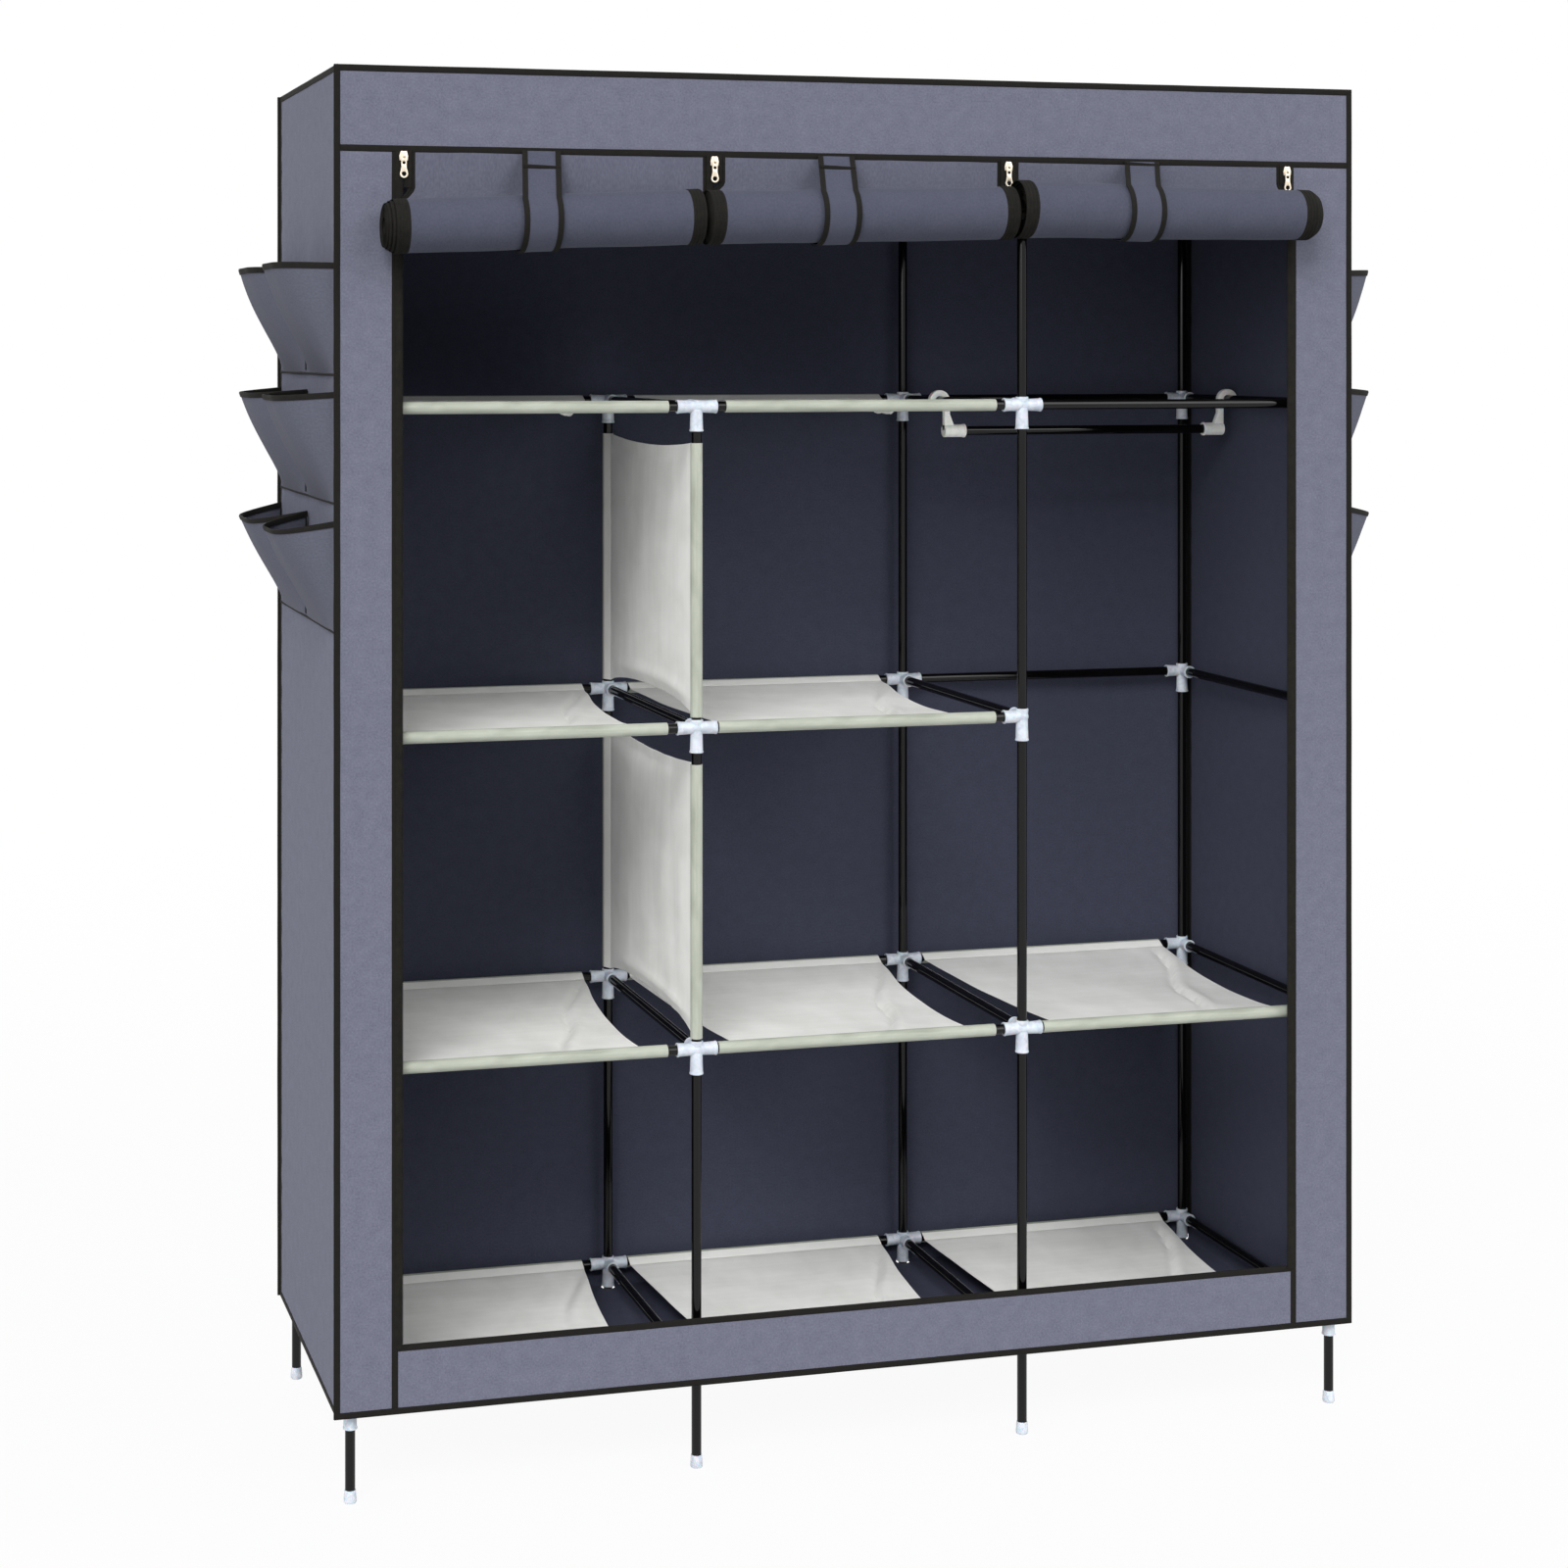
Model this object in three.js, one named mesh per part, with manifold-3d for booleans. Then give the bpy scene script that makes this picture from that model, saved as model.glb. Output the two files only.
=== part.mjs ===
// A portable fabric wardrobe. Steel tubes and plastic connectors make the frame. Cloth makes the
// shelves, the dividers, the cover with its rolled-up curtains, and the side pockets.
// Millimetres, +Z up, the front faces -Y. Left and right are as seen from the front.
import * as THREE from "three";
import { mergeVertices } from "three/addons/utils/BufferGeometryUtils.js";
import Module from "manifold-3d";

const wasm = await Module();
wasm.setup();

// Fits and shared sizes
const clearance = 0.3; // what touching pieces keep between them
const cutOverrun = 2; // how far a cut runs past the face that it opens
const weldDistance = 0.001; // corners closer than this are one corner
const clothThickness = 0.8;

// Cover, by its outside
const coverWidth = 1300;
const coverDepth = 450;
const coverHeight = 1670; // floor to top
const hemHeight = 108; // floor to the lower edge
const headerHeight = 93; // strip above the curtains
const leftStileWidth = 72; // strips beside the curtains
const rightStileWidth = 82;
const skirtHeight = 73; // strip below the curtains
const floorDrop = 3.5; // the floor panel hangs this far below the lower edge
const floorHoleGap = 1.2; // floor panel to the socket that goes through it

// Frame
const postInset = 18.5; // a corner post's axis behind the outside of the cover
const railOverHem = 8; // lower edge of the cover to the axes of the lowest rails
const tubeDiameter = 12;
const socketDiameter = 16;
const armLength = 25; // connector axis to the mouth of a side socket
const longSocket = 30; // rail axis to the far mouth of the post socket
const shortSocket = 10; // rail axis to the near mouth of the post socket
const footDiameter = 15;
const footSoleDiameter = 12.4;
const footHeight = 13;
const footRounding = 2.2;
const tubeSides = 8;

// Shelves and dividers
const bareTube = 10; // tube that shows between a connector and a sleeve
const shelfSag = 10;
const shelfEdgeInset = 10; // how far the free edges curve in, half way back
const dividerLowerArch = 15; // how far the lower edge curves up
const dividerUpperDip = 8; // how far the upper edge curves down
const dividerBillow = 4;
const dividerEndGap = 3; // connector to sleeve at the lower end
const dividerBareTube = 14; // and at the upper end
const webSteps = 6; // across a shelf or divider
const shelfSteps = 2; // along its sleeves
const dividerSteps = 3;

// Rolled-up curtains
const zipToStile = 6; // outer zips to the cloth edge beside them
const panelGap = 12; // between two cloth edges at a zip
const curtainOverlap = 20; // how far an unrolled curtain reaches below the skirt's upper edge
const rollCoreRadius = 12; // the innermost turn
const wrapThickness = 2.25; // what each turn of cloth adds to the radius
const turnPoints = 12;
const slantStart = 6; // above the roll, where the flat cloth leaves the front plane
const leftRollDrop = 84; // header to the axis of each roll
const middleRollDrop = 72;
const rightRollDrop = 64;
const leftRollStart = 34; // how far each roll starts outside its flat cloth
const middleRollStart = 24;
const rightRollStart = 10.5;
const leftRollShort = 27; // how far it ends inside its flat cloth
const middleRollShort = 2.5;
const rightRollPast = 22; // how far the right one ends outside it

// Tie straps
const strapWidth = 46;
const strapThickness = 1;
const leftStrapOffset = -37; // from the middle of its curtain
const middleStrapOffset = -50;
const rightStrapOffset = -34;
const leftStrapLean = 13; // how far its upper end stands to the right
const middleStrapLean = 15;
const rightStrapLean = 24;
const leftBarDrop = 20; // header to the end bar
const middleBarDrop = 15;
const rightBarDrop = 5;
const strapArcSteps = 10;
const strapLeaveAngle = 290; // degrees round the roll, from its rear over the top
const strapBarDiameter = 4;
const strapBarLength = 50;

const curtains = [
  {
    name: "left",
    drop: leftRollDrop,
    reachLeft: leftRollStart,
    reachRight: -leftRollShort,
    strapOffset: leftStrapOffset,
    strapLean: leftStrapLean,
    barDrop: leftBarDrop,
  },
  {
    name: "middle",
    drop: middleRollDrop,
    reachLeft: middleRollStart,
    reachRight: -middleRollShort,
    strapOffset: middleStrapOffset,
    strapLean: middleStrapLean,
    barDrop: middleBarDrop,
  },
  {
    name: "right",
    drop: rightRollDrop,
    reachLeft: rightRollStart,
    reachRight: rightRollPast,
    strapOffset: rightStrapOffset,
    strapLean: rightStrapLean,
    barDrop: rightBarDrop,
  },
];

// Zips
const tapeWidth = 22; // both halves
const tapeSlit = 3;
const tapeThickness = 1;
const sliderWidth = 10.5;
const sliderTopWidth = 8.6;
const sliderLength = 11;
const sliderPlate = 1;
const sliderTopGap = 2.5; // header to the slider
const neckWidth = 1.6;
const neckHeight = 4;
const bailWidth = 1.4;
const bailWire = 1;
const rimHeight = 1.2; // the pull tab's top bar
const pullThickness = 1;
const pullLength = 26;
const pullWidth = 9.6;
const pullWaist = 6.2;
const pullSlotWidth = 2.6;
const pullSlotLength = 3;
const pullHoleDiameter = 4.2;
const pullHoleSides = 8;
const pullEndSteps = 6;

// Side pockets
const pocketRowMargin = 10; // cover edge to the row
const rowPocketCount = 2;
const pocketRowCount = 3;
const firstMouthDrop = 227; // top of the cover to the highest pocket's mouth
const pocketRowSpacing = 150;
const pocketHeight = 130;
const pocketBulge = 64;
const pocketSeam = 5;
const pocketStepsAcross = 6;
const pocketStepsUp = 4;

// Hanging rod
const rodSetback = 278; // front posts to the rod
const rodDrop = 40; // side tubes to the rod
const hookBand = 8; // thickness of the hook round the tube
const hookWidth = 9;
const hookTipAngle = 205; // degrees, from the leg over the tube
const hookArcSteps = 8;
const hookSocketDiameter = 17;
const hookSocketLength = 22;
const hookGussetTop = 18; // below the side tube
const hookGussetReach = 8;

// Values worked out from the sizes above
const levelCount = 5;
const columnCount = 4;
const tubeRadius = tubeDiameter / 2;
const socketRadius = socketDiameter / 2;
const frontFace = -coverDepth / 2;
const firstLevelHeight = hemHeight + railOverHem;
const topLevelHeight = coverHeight - clothThickness - clearance - socketRadius;
const levelPitch = (topLevelHeight - firstLevelHeight) / (levelCount - 1);
const columnPitch = (coverWidth - 2 * postInset) / (columnCount - 1);
const rowPitch = coverDepth - 2 * postInset;
const headerBottom = coverHeight - headerHeight;
const underTop = coverHeight - clothThickness - clearance;
const openingLeft = leftStileWidth - coverWidth / 2;
const openingRight = coverWidth / 2 - rightStileWidth;
const polygonShrink = Math.cos(Math.PI / tubeSides); // flat of a prism against its corner
const boreRadius = tubeRadius + clearance / polygonShrink;
const tapeFront = frontFace - clearance - tapeThickness;

function columnX(column) {
  return (column - (columnCount - 1) / 2) * columnPitch;
}

function levelZ(level) {
  return firstLevelHeight + level * levelPitch;
}

const rows = [
  { name: "front", y: -rowPitch / 2, inward: 1 },
  { name: "rear", y: rowPitch / 2, inward: -1 },
];
const bayNames = ["left", "middle", "right"];
const topLevel = levelCount - 1;
const rodLevel = topLevel - 1; // its right bay holds the hanging rod
const openLevel = rodLevel - 1; // its right bay has no front rail and no shelf
const rightBay = bayNames.indexOf("right");
const shortColumn = bayNames.indexOf("middle"); // its posts end under the top bay

function postTop(column) {
  return column === shortColumn ? rodLevel : topLevel;
}

function hasRail(level, bay, row) {
  return !(level === openLevel && bay === rightBay && row.name === "front");
}

// Colours and finishes
function finish(color, roughness, metalness = 0) {
  return new THREE.MeshStandardMaterial({ color, roughness, metalness });
}

const coverCloth = finish(0x75778a, 0.95);
const curtainCloth = finish(0x5f6179, 0.95);
const pocketCloth = finish(0x626472, 0.95);
const shelfCloth = finish(0xcdcec7, 0.9);
const blackTape = finish(0x232421, 0.8);
const blackSteel = finish(0x1a1614, 0.35, 0.2);
const whitePlastic = finish(0xe3e9ee, 0.45);
const nickel = finish(0xd9ccb8, 0.3, 1);

// Three ways to stand an outline up, named after its depth: along X, along Z and towards the front
const sideways = new THREE.Matrix4().makeBasis(
  new THREE.Vector3(0, 1, 0),
  new THREE.Vector3(0, 0, 1),
  new THREE.Vector3(1, 0, 0),
);
const upright = new THREE.Matrix4().makeBasis(
  new THREE.Vector3(0, 1, 0),
  new THREE.Vector3(-1, 0, 0),
  new THREE.Vector3(0, 0, 1),
);
const forwards = new THREE.Matrix4().makeBasis(
  new THREE.Vector3(1, 0, 0),
  new THREE.Vector3(0, 0, 1),
  new THREE.Vector3(0, -1, 0),
);

// The positions of a geometry, with shared corners merged
function welded(geometry) {
  const loose = geometry.index ? geometry.toNonIndexed() : geometry;
  const plain = new THREE.BufferGeometry();
  plain.setAttribute("position", loose.getAttribute("position"));
  return mergeVertices(plain, weldDistance);
}

function toSolid(geometry) {
  const plain = welded(geometry);
  const mesh = new wasm.Mesh({
    numProp: 3,
    vertProperties: new Float32Array(plain.attributes.position.array),
    triVerts: new Uint32Array(plain.index.array),
  });
  return new wasm.Manifold(mesh);
}

function toGeometry(solid) {
  const mesh = solid.getMesh();
  const geometry = new THREE.BufferGeometry();
  geometry.setAttribute("position", new THREE.BufferAttribute(mesh.vertProperties, mesh.numProp));
  geometry.setIndex(new THREE.BufferAttribute(mesh.triVerts, 1));
  geometry.computeVertexNormals();
  return geometry;
}

// One solid from geometries that are joined, less those that are cut away
function joined(parts, cuts = []) {
  const whole = parts.map(toSolid).reduce((a, b) => a.add(b));
  return toGeometry(cuts.map(toSolid).reduce((a, b) => a.subtract(b), whole));
}

// A bar along one axis, as a prism with its corners on the circle
function bar(axis, radius, from, to, x, y, z, sides = tubeSides) {
  const geometry = new THREE.CylinderGeometry(radius, radius, to - from, sides);
  const middle = (from + to) / 2;
  if (axis === "x") geometry.rotateZ(-Math.PI / 2).translate(x + middle, y, z);
  if (axis === "y") geometry.translate(x, y + middle, z);
  if (axis === "z") geometry.rotateX(Math.PI / 2).translate(x, y, z + middle);
  return geometry;
}

// A box between two corners
function block(x0, x1, y0, y1, z0, z1) {
  const geometry = new THREE.BoxGeometry(x1 - x0, y1 - y0, z1 - z0);
  return geometry.translate((x0 + x1) / 2, (y0 + y1) / 2, (z0 + z1) / 2);
}

// An outline of [x, y] points, with holes, drawn out along its depth
function extruded(points, depth, holes = [], steps = 1) {
  const shape = new THREE.Shape(points.map(([x, y]) => new THREE.Vector2(x, y)));
  for (const hole of holes) {
    shape.holes.push(new THREE.Path(hole.map(([x, y]) => new THREE.Vector2(x, y))));
  }
  return new THREE.ExtrudeGeometry(shape, { depth, steps, bevelEnabled: false });
}

// A strip of cloth of one thickness along a line of [x, y] points
function stripOutline(line, thickness) {
  const left = [];
  const right = [];
  line.forEach(([x, y], i) => {
    const [x0, y0] = line[Math.max(i - 1, 0)];
    const [x1, y1] = line[Math.min(i + 1, line.length - 1)];
    const length = Math.hypot(x1 - x0, y1 - y0);
    const offsetX = (-(y1 - y0) / length) * (thickness / 2);
    const offsetY = ((x1 - x0) / length) * (thickness / 2);
    left.push([x + offsetX, y + offsetY]);
    right.unshift([x - offsetX, y - offsetY]);
  });
  return left.concat(right);
}

// Points of a circle from one angle to another, both in radians
function arc(centreX, centreY, radius, from, to, steps) {
  return Array.from({ length: steps + 1 }, (_, i) => {
    const angle = from + ((to - from) * i) / steps;
    return [centreX + radius * Math.cos(angle), centreY + radius * Math.sin(angle)];
  });
}

function moved(geometry, change) {
  const position = geometry.getAttribute("position");
  const point = new THREE.Vector3();
  for (let i = 0; i < position.count; i += 1) {
    point.fromBufferAttribute(position, i);
    change(point);
    position.setXYZ(i, point.x, point.y, point.z);
  }
  geometry.computeVertexNormals();
  return geometry;
}

function piece(name, geometry, material, x = 0, y = 0, z = 0) {
  const mesh = new THREE.Mesh(geometry, material);
  mesh.name = name;
  mesh.position.set(x, y, z);
  return mesh;
}

// Zero at both ends of a span and one in its middle
function bow(share) {
  const inside = Math.min(Math.max(share, 0), 1);
  return 1 - (2 * inside - 1) ** 2;
}

// Frame: one level of rails, side tubes and connectors
function tierFrame(level) {
  const z = levelZ(level);
  const parts = [];
  const bores = [];
  for (const row of rows) {
    for (let column = 0; column < columnCount; column += 1) {
      const x = columnX(column);
      const left = column > 0 && hasRail(level, column - 1, row) ? armLength : 0;
      const right = column < columnCount - 1 && hasRail(level, column, row) ? armLength : 0;
      parts.push(bar("x", socketRadius, -left, right, x, row.y, z));
      const armEnds = [0, row.inward * armLength].sort((a, b) => a - b);
      parts.push(bar("y", socketRadius, ...armEnds, x, row.y, z));
      if (level > postTop(column)) continue;
      const inner = column > 0 && column < columnCount - 1;
      const flipped = level === 0 && inner && row.name === "front";
      const ends = level === postTop(column);
      const rise = ends ? socketRadius : flipped ? longSocket : shortSocket;
      const drop = flipped ? shortSocket : longSocket;
      parts.push(bar("z", socketRadius, -drop, rise, x, row.y, z));
      bores.push(bar("z", boreRadius, -drop - cutOverrun, ends ? 0 : rise + cutOverrun, x, row.y, z));
    }
    for (let bay = 0; bay < columnCount - 1; bay += 1) {
      if (!hasRail(level, bay, row)) continue;
      parts.push(bar("x", tubeRadius, columnX(bay), columnX(bay + 1), 0, row.y, z));
    }
  }
  for (let column = 0; column < columnCount; column += 1) {
    parts.push(bar("y", tubeRadius, -rowPitch / 2, rowPitch / 2, columnX(column), 0, z));
  }
  return piece(`tier_frame_${level + 1}`, joined(parts, bores), blackSteel);
}

// Frame: one line of post tubes with its foot cap
function post(column, row) {
  const footRadius = footDiameter / 2;
  const profile = [
    [0, 0],
    [footSoleDiameter / 2, 0],
    [footRadius, footRounding],
    [footRadius, footHeight],
    [0, footHeight],
  ].map(([x, y]) => new THREE.Vector2(x, y));
  const foot = new THREE.LatheGeometry(profile, tubeSides).rotateX(Math.PI / 2);
  const height = levelZ(postTop(column)) - clearance;
  const tube = bar("z", tubeRadius, footHeight / 2, height, 0, 0, 0);
  const name = `post_${row.name}_${column + 1}`;
  return piece(name, joined([tube, foot]), blackSteel, columnX(column), row.y, 0);
}

// Cloth with a sleeve at each end of its span. x runs along the span from one sleeve's axis to
// the other's, y across the cloth and z along the sleeves.
function sleevedCloth(span, length, steps) {
  const sleeveRadius = boreRadius + clothThickness / polygonShrink;
  const lip = Math.asin(clothThickness / 2 / sleeveRadius);
  const turn = (2 * Math.PI) / tubeSides;
  const ring = (centre, facing) => {
    const corners = [];
    for (let i = 1; i < tubeSides; i += 1) corners.push(facing + i * turn);
    return [facing + lip, ...corners, facing - lip + 2 * Math.PI].map((angle) => [
      centre + sleeveRadius * Math.cos(angle),
      sleeveRadius * Math.sin(angle),
    ]);
  };
  const web = (side) => {
    const points = [];
    for (let i = 1; i < webSteps; i += 1) {
      points.push([(span * i) / webSteps, (side * clothThickness) / 2]);
    }
    return points;
  };
  const outline = [...web(-1), ...ring(span, Math.PI), ...web(1).reverse(), ...ring(0, 0)];
  const lastCorner = 2 * Math.PI - turn;
  const holes = [0, span].map((centre) => arc(centre, 0, boreRadius, 0, lastCorner, tubeSides - 1));
  const cloth = extruded(outline, length, holes, steps);
  const webShare = (x) => (x - sleeveRadius) / (span - 2 * sleeveRadius);
  return { cloth, webShare };
}

// A shelf, with the sag of its cloth and its curved free edges
function shelf(level, bay) {
  const from = columnX(bay) + armLength + bareTube;
  const length = columnPitch - 2 * (armLength + bareTube);
  const { cloth, webShare } = sleevedCloth(rowPitch, length, shelfSteps);
  moved(cloth, (point) => {
    const middle = length / 2;
    const depthBow = bow(webShare(point.x));
    const narrowing = 1 - (shelfEdgeInset / middle) * depthBow;
    point.z = middle + (point.z - middle) * narrowing;
    point.y -= shelfSag * depthBow;
  });
  cloth.applyMatrix4(sideways);
  const name = `shelf_${level + 1}_${bayNames[bay]}`;
  return piece(name, cloth, shelfCloth, from, -rowPitch / 2, levelZ(level));
}

// An upright divider between the front and rear posts of one column
function divider(name, level) {
  const bottom = levelZ(level) + shortSocket + dividerEndGap;
  const top = levelZ(level + 1) - longSocket - dividerBareTube;
  const height = top - bottom;
  const { cloth, webShare } = sleevedCloth(rowPitch, height, dividerSteps);
  moved(cloth, (point) => {
    const upShare = point.z / height;
    const depthBow = bow(webShare(point.x));
    const low = dividerLowerArch * depthBow;
    const high = height - dividerUpperDip * depthBow;
    point.z = low + (high - low) * upShare;
    point.y += dividerBillow * depthBow * bow(upShare);
  });
  cloth.applyMatrix4(upright);
  return piece(name, cloth, shelfCloth, columnX(shortColumn), -rowPitch / 2, bottom);
}

// Cover: flat panels sewn edge to edge
function coverPanels() {
  const halfWidth = coverWidth / 2;
  const halfDepth = coverDepth / 2;
  const inner = clothThickness + clearance;
  const frontBack = frontFace + clothThickness;
  const strip = (x0, x1, z0, z1) => block(x0, x1, frontFace, frontBack, z0, z1);
  const rear = halfDepth - clothThickness;
  const sideFront = frontFace + inner;
  const sideRear = halfDepth - inner;
  const sideInner = halfWidth - clothThickness;
  const topUnderside = coverHeight - clothThickness;
  const panels = {
    cover_top: block(-halfWidth, halfWidth, frontFace, halfDepth, topUnderside, coverHeight),
    cover_back: block(-halfWidth, halfWidth, rear, halfDepth, hemHeight, underTop),
    cover_left_side: block(-halfWidth, -sideInner, sideFront, sideRear, hemHeight, underTop),
    cover_right_side: block(sideInner, halfWidth, sideFront, sideRear, hemHeight, underTop),
    cover_header: strip(-halfWidth, halfWidth, headerBottom, underTop),
    cover_left_stile: strip(-halfWidth, openingLeft, hemHeight, headerBottom - clearance),
    cover_right_stile: strip(openingRight, halfWidth, hemHeight, headerBottom - clearance),
    cover_skirt: skirtWithFloor(),
  };
  return Object.entries(panels).map(([name, geometry]) => piece(name, geometry, coverCloth));
}

// The front skirt and the floor panel, which the posts go through
function skirtWithFloor() {
  const halfWidth = coverWidth / 2;
  const floorTop = hemHeight - floorDrop;
  const floorBottom = floorTop - clothThickness;
  const from = openingLeft + clearance;
  const to = openingRight - clearance;
  const skirtTop = hemHeight + skirtHeight;
  const skirt = block(from, to, frontFace, frontFace + clothThickness, floorBottom, skirtTop);
  const floor = block(-halfWidth, halfWidth, frontFace, coverDepth / 2, floorBottom, floorTop);
  const holes = [];
  for (const row of rows) {
    for (let column = 0; column < columnCount; column += 1) {
      const radius = socketRadius + floorHoleGap;
      const ends = [floorBottom - cutOverrun, floorTop + cutOverrun];
      holes.push(bar("z", radius, ...ends, columnX(column), row.y, 0));
    }
  }
  return joined([skirt, floor], holes);
}

// Curtains: zips divide the front into equal widths, and each cloth is rolled up outwards
const firstZip = openingLeft + zipToStile;
const zipPitch = (openingRight - zipToStile - firstZip) / curtains.length;

function zipX(index) {
  return firstZip + index * zipPitch;
}

const curtainLength = headerBottom - hemHeight - skirtHeight + curtainOverlap;
const rollBack = tapeFront - clearance - clothThickness / 2; // the outermost turn's middle, at its rear

// The middle line of a roll's outermost turn
function rollOf(index) {
  const { drop } = curtains[index];
  const rolledLength = curtainLength - drop;
  const radius = Math.sqrt(rollCoreRadius ** 2 + (wrapThickness * rolledLength) / Math.PI);
  return { radius, y: rollBack - radius, z: headerBottom - drop };
}

// Where the flat cloth leaves the front plane
function slantTop(index) {
  const roll = rollOf(index);
  return roll.z + roll.radius + slantStart;
}

function curtain(index) {
  const { name, reachLeft, reachRight } = curtains[index];
  const roll = rollOf(index);
  const flatY = frontFace + clothThickness / 2;
  const flareTop = roll.z + roll.radius / 2;
  const line = [
    [flatY, headerBottom - clearance],
    [flatY, slantTop(index)],
    [rollBack, flareTop],
  ];
  const steps = Math.round((turnPoints * (roll.radius - rollCoreRadius)) / wrapThickness);
  for (let i = 0; i <= steps; i += 1) {
    const angle = (2 * Math.PI * i) / turnPoints;
    const radius = roll.radius - (wrapThickness * i) / turnPoints;
    line.push([roll.y + radius * Math.cos(angle), roll.z - radius * Math.sin(angle)]);
  }
  const flatLeft = zipX(index) + panelGap / 2;
  const flatWidth = zipPitch - panelGap;
  const cloth = extruded(stripOutline(line, clothThickness), flatWidth);
  moved(cloth, (point) => {
    const flat = point.y > flareTop - clothThickness && point.x > rollBack - clothThickness;
    const slantShare = Math.max(slantTop(index) - point.y, 0) / (slantTop(index) - roll.z);
    const grown = (reach) => (flat ? Math.min(reach, 0) * slantShare : reach); // a short end tapers
    const left = -grown(reachLeft);
    const right = flatWidth + grown(reachRight);
    point.z = left + (right - left) * (point.z / flatWidth);
  });
  cloth.applyMatrix4(sideways);
  return piece(`curtain_${name}`, cloth, curtainCloth, flatLeft, 0, 0);
}

// A tie strap: a loop of tape round its curtain, from the front of the header to the inside
const strapHalfStep = Math.PI / (2 * strapArcSteps); // it wraps round less than half a turn

function strapInnerRadius(index) {
  return (rollOf(index).radius + clothThickness / 2 + clearance) / Math.cos(strapHalfStep);
}

function tieStrap(index) {
  const { name, strapOffset, strapLean, barDrop } = curtains[index];
  const roll = rollOf(index);
  const radius = strapInnerRadius(index) + strapThickness / 2;
  const top = headerBottom - clearance;
  const frontY = frontFace - clearance - strapThickness / 2;
  const rearY = frontFace + clothThickness + clearance + strapThickness / 2;
  const away = Math.hypot(frontY - roll.y, top - roll.z);
  const frontTouch = Math.atan2(top - roll.z, frontY - roll.y) + Math.acos(radius / away);
  const leave = THREE.MathUtils.degToRad(strapLeaveAngle);
  const wrap = arc(roll.y, roll.z, radius, frontTouch, leave, strapArcSteps);
  const [leaveY, leaveZ] = wrap[strapArcSteps];
  const cornerZ = leaveZ - (rearY - leaveY) / Math.tan(leave); // straight on until it is behind the cloth
  const line = [[frontY, top], ...wrap, [rearY, cornerZ], [rearY, top]];
  const loop = extruded(stripOutline(line, strapThickness), strapWidth).applyMatrix4(sideways);
  moved(loop, (point) => {
    if (point.z > top - strapThickness) point.x += strapLean;
  });
  const barShare = barDrop / (top - wrap[0][1]);
  const barX = strapWidth / 2 + strapLean * (1 - barShare);
  const barY = frontY + (wrap[0][0] - frontY) * barShare - strapBarDiameter / 2;
  const half = strapBarLength / 2;
  const endBar = bar("x", strapBarDiameter / 2, -half, half, barX, barY, top - barDrop);
  const middle = (zipX(index) + zipX(index + 1)) / 2;
  const from = middle + strapOffset - strapWidth / 2;
  return piece(`tie_strap_${name}`, joined([loop, endBar]), blackTape, from, 0, 0);
}

// Zips: tape, slider and pull tab
const sliderTop = headerBottom - clearance - sliderTopGap;
const sliderBottom = sliderTop - sliderLength;
const plateFront = tapeFront - clearance - sliderPlate; // front face of the slider
const rimRadius = Math.hypot(rimHeight, pullThickness) / 2;
const pullAxisY = plateFront - rimRadius - clearance;
const pullAxisZ = (sliderTop + sliderBottom) / 2;

// A half on a stile runs down to the skirt, and one on a curtain as far as the cloth is flat
function zipTape(index) {
  const top = headerBottom - clearance;
  const skirtTop = hemHeight + skirtHeight;
  const slitTop = sliderBottom + neckHeight + clearance;
  const half = tapeWidth / 2;
  const slit = tapeSlit / 2;
  const leftEnd = index === 0 ? skirtTop : slantTop(index - 1) + clearance;
  const rightEnd = index === curtains.length ? skirtTop : slantTop(index) + clearance;
  const outline = [
    [-half, leftEnd],
    [-slit, leftEnd],
    [-slit, slitTop],
    [slit, slitTop],
    [slit, rightEnd],
    [half, rightEnd],
    [half, top],
    [-half, top],
  ];
  const tape = extruded(outline, tapeThickness).applyMatrix4(forwards);
  return piece(`zip_tape_${index + 1}`, tape, blackTape, zipX(index), frontFace - clearance, 0);
}

// The slider's own origin is the pull tab's axis
function zipSlider(index) {
  const tapeBack = frontFace - clearance;
  const backPlate = tapeBack + clearance + sliderPlate;
  const half = sliderLength / 2;
  const outline = [
    [-sliderTopWidth / 2, half],
    [-sliderWidth / 2, 0],
    [-sliderWidth / 2, -half],
    [sliderWidth / 2, -half],
    [sliderWidth / 2, 0],
    [sliderTopWidth / 2, half],
  ];
  const plate = (front) => {
    const flat = extruded(outline, sliderPlate).applyMatrix4(forwards);
    return flat.translate(0, front + sliderPlate, 0);
  };
  const neckHalf = neckWidth / 2;
  const neck = block(-neckHalf, neckHalf, plateFront, backPlate, -half, neckHeight - half);
  const inner = rimRadius + clearance; // from the axis to the inside of the bail
  const legInner = inner + clearance;
  const bailFront = pullAxisY - inner - bailWire;
  const wide = bailWidth / 2;
  const sunk = plateFront + sliderPlate / 2;
  const legOuter = legInner + bailWire;
  const upper = block(-wide, wide, bailFront, sunk, legInner, legOuter);
  const lower = block(-wide, wide, bailFront, sunk, -legOuter, -legInner);
  const bridge = block(-wide, wide, bailFront, bailFront + bailWire, -legOuter, legOuter);
  const body = joined([plate(plateFront), plate(backPlate - sliderPlate), neck, upper, lower, bridge]);
  body.translate(0, -pullAxisY, 0);
  return piece(`zip_slider_${index + 1}`, body, nickel, zipX(index), pullAxisY, pullAxisZ);
}

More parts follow.
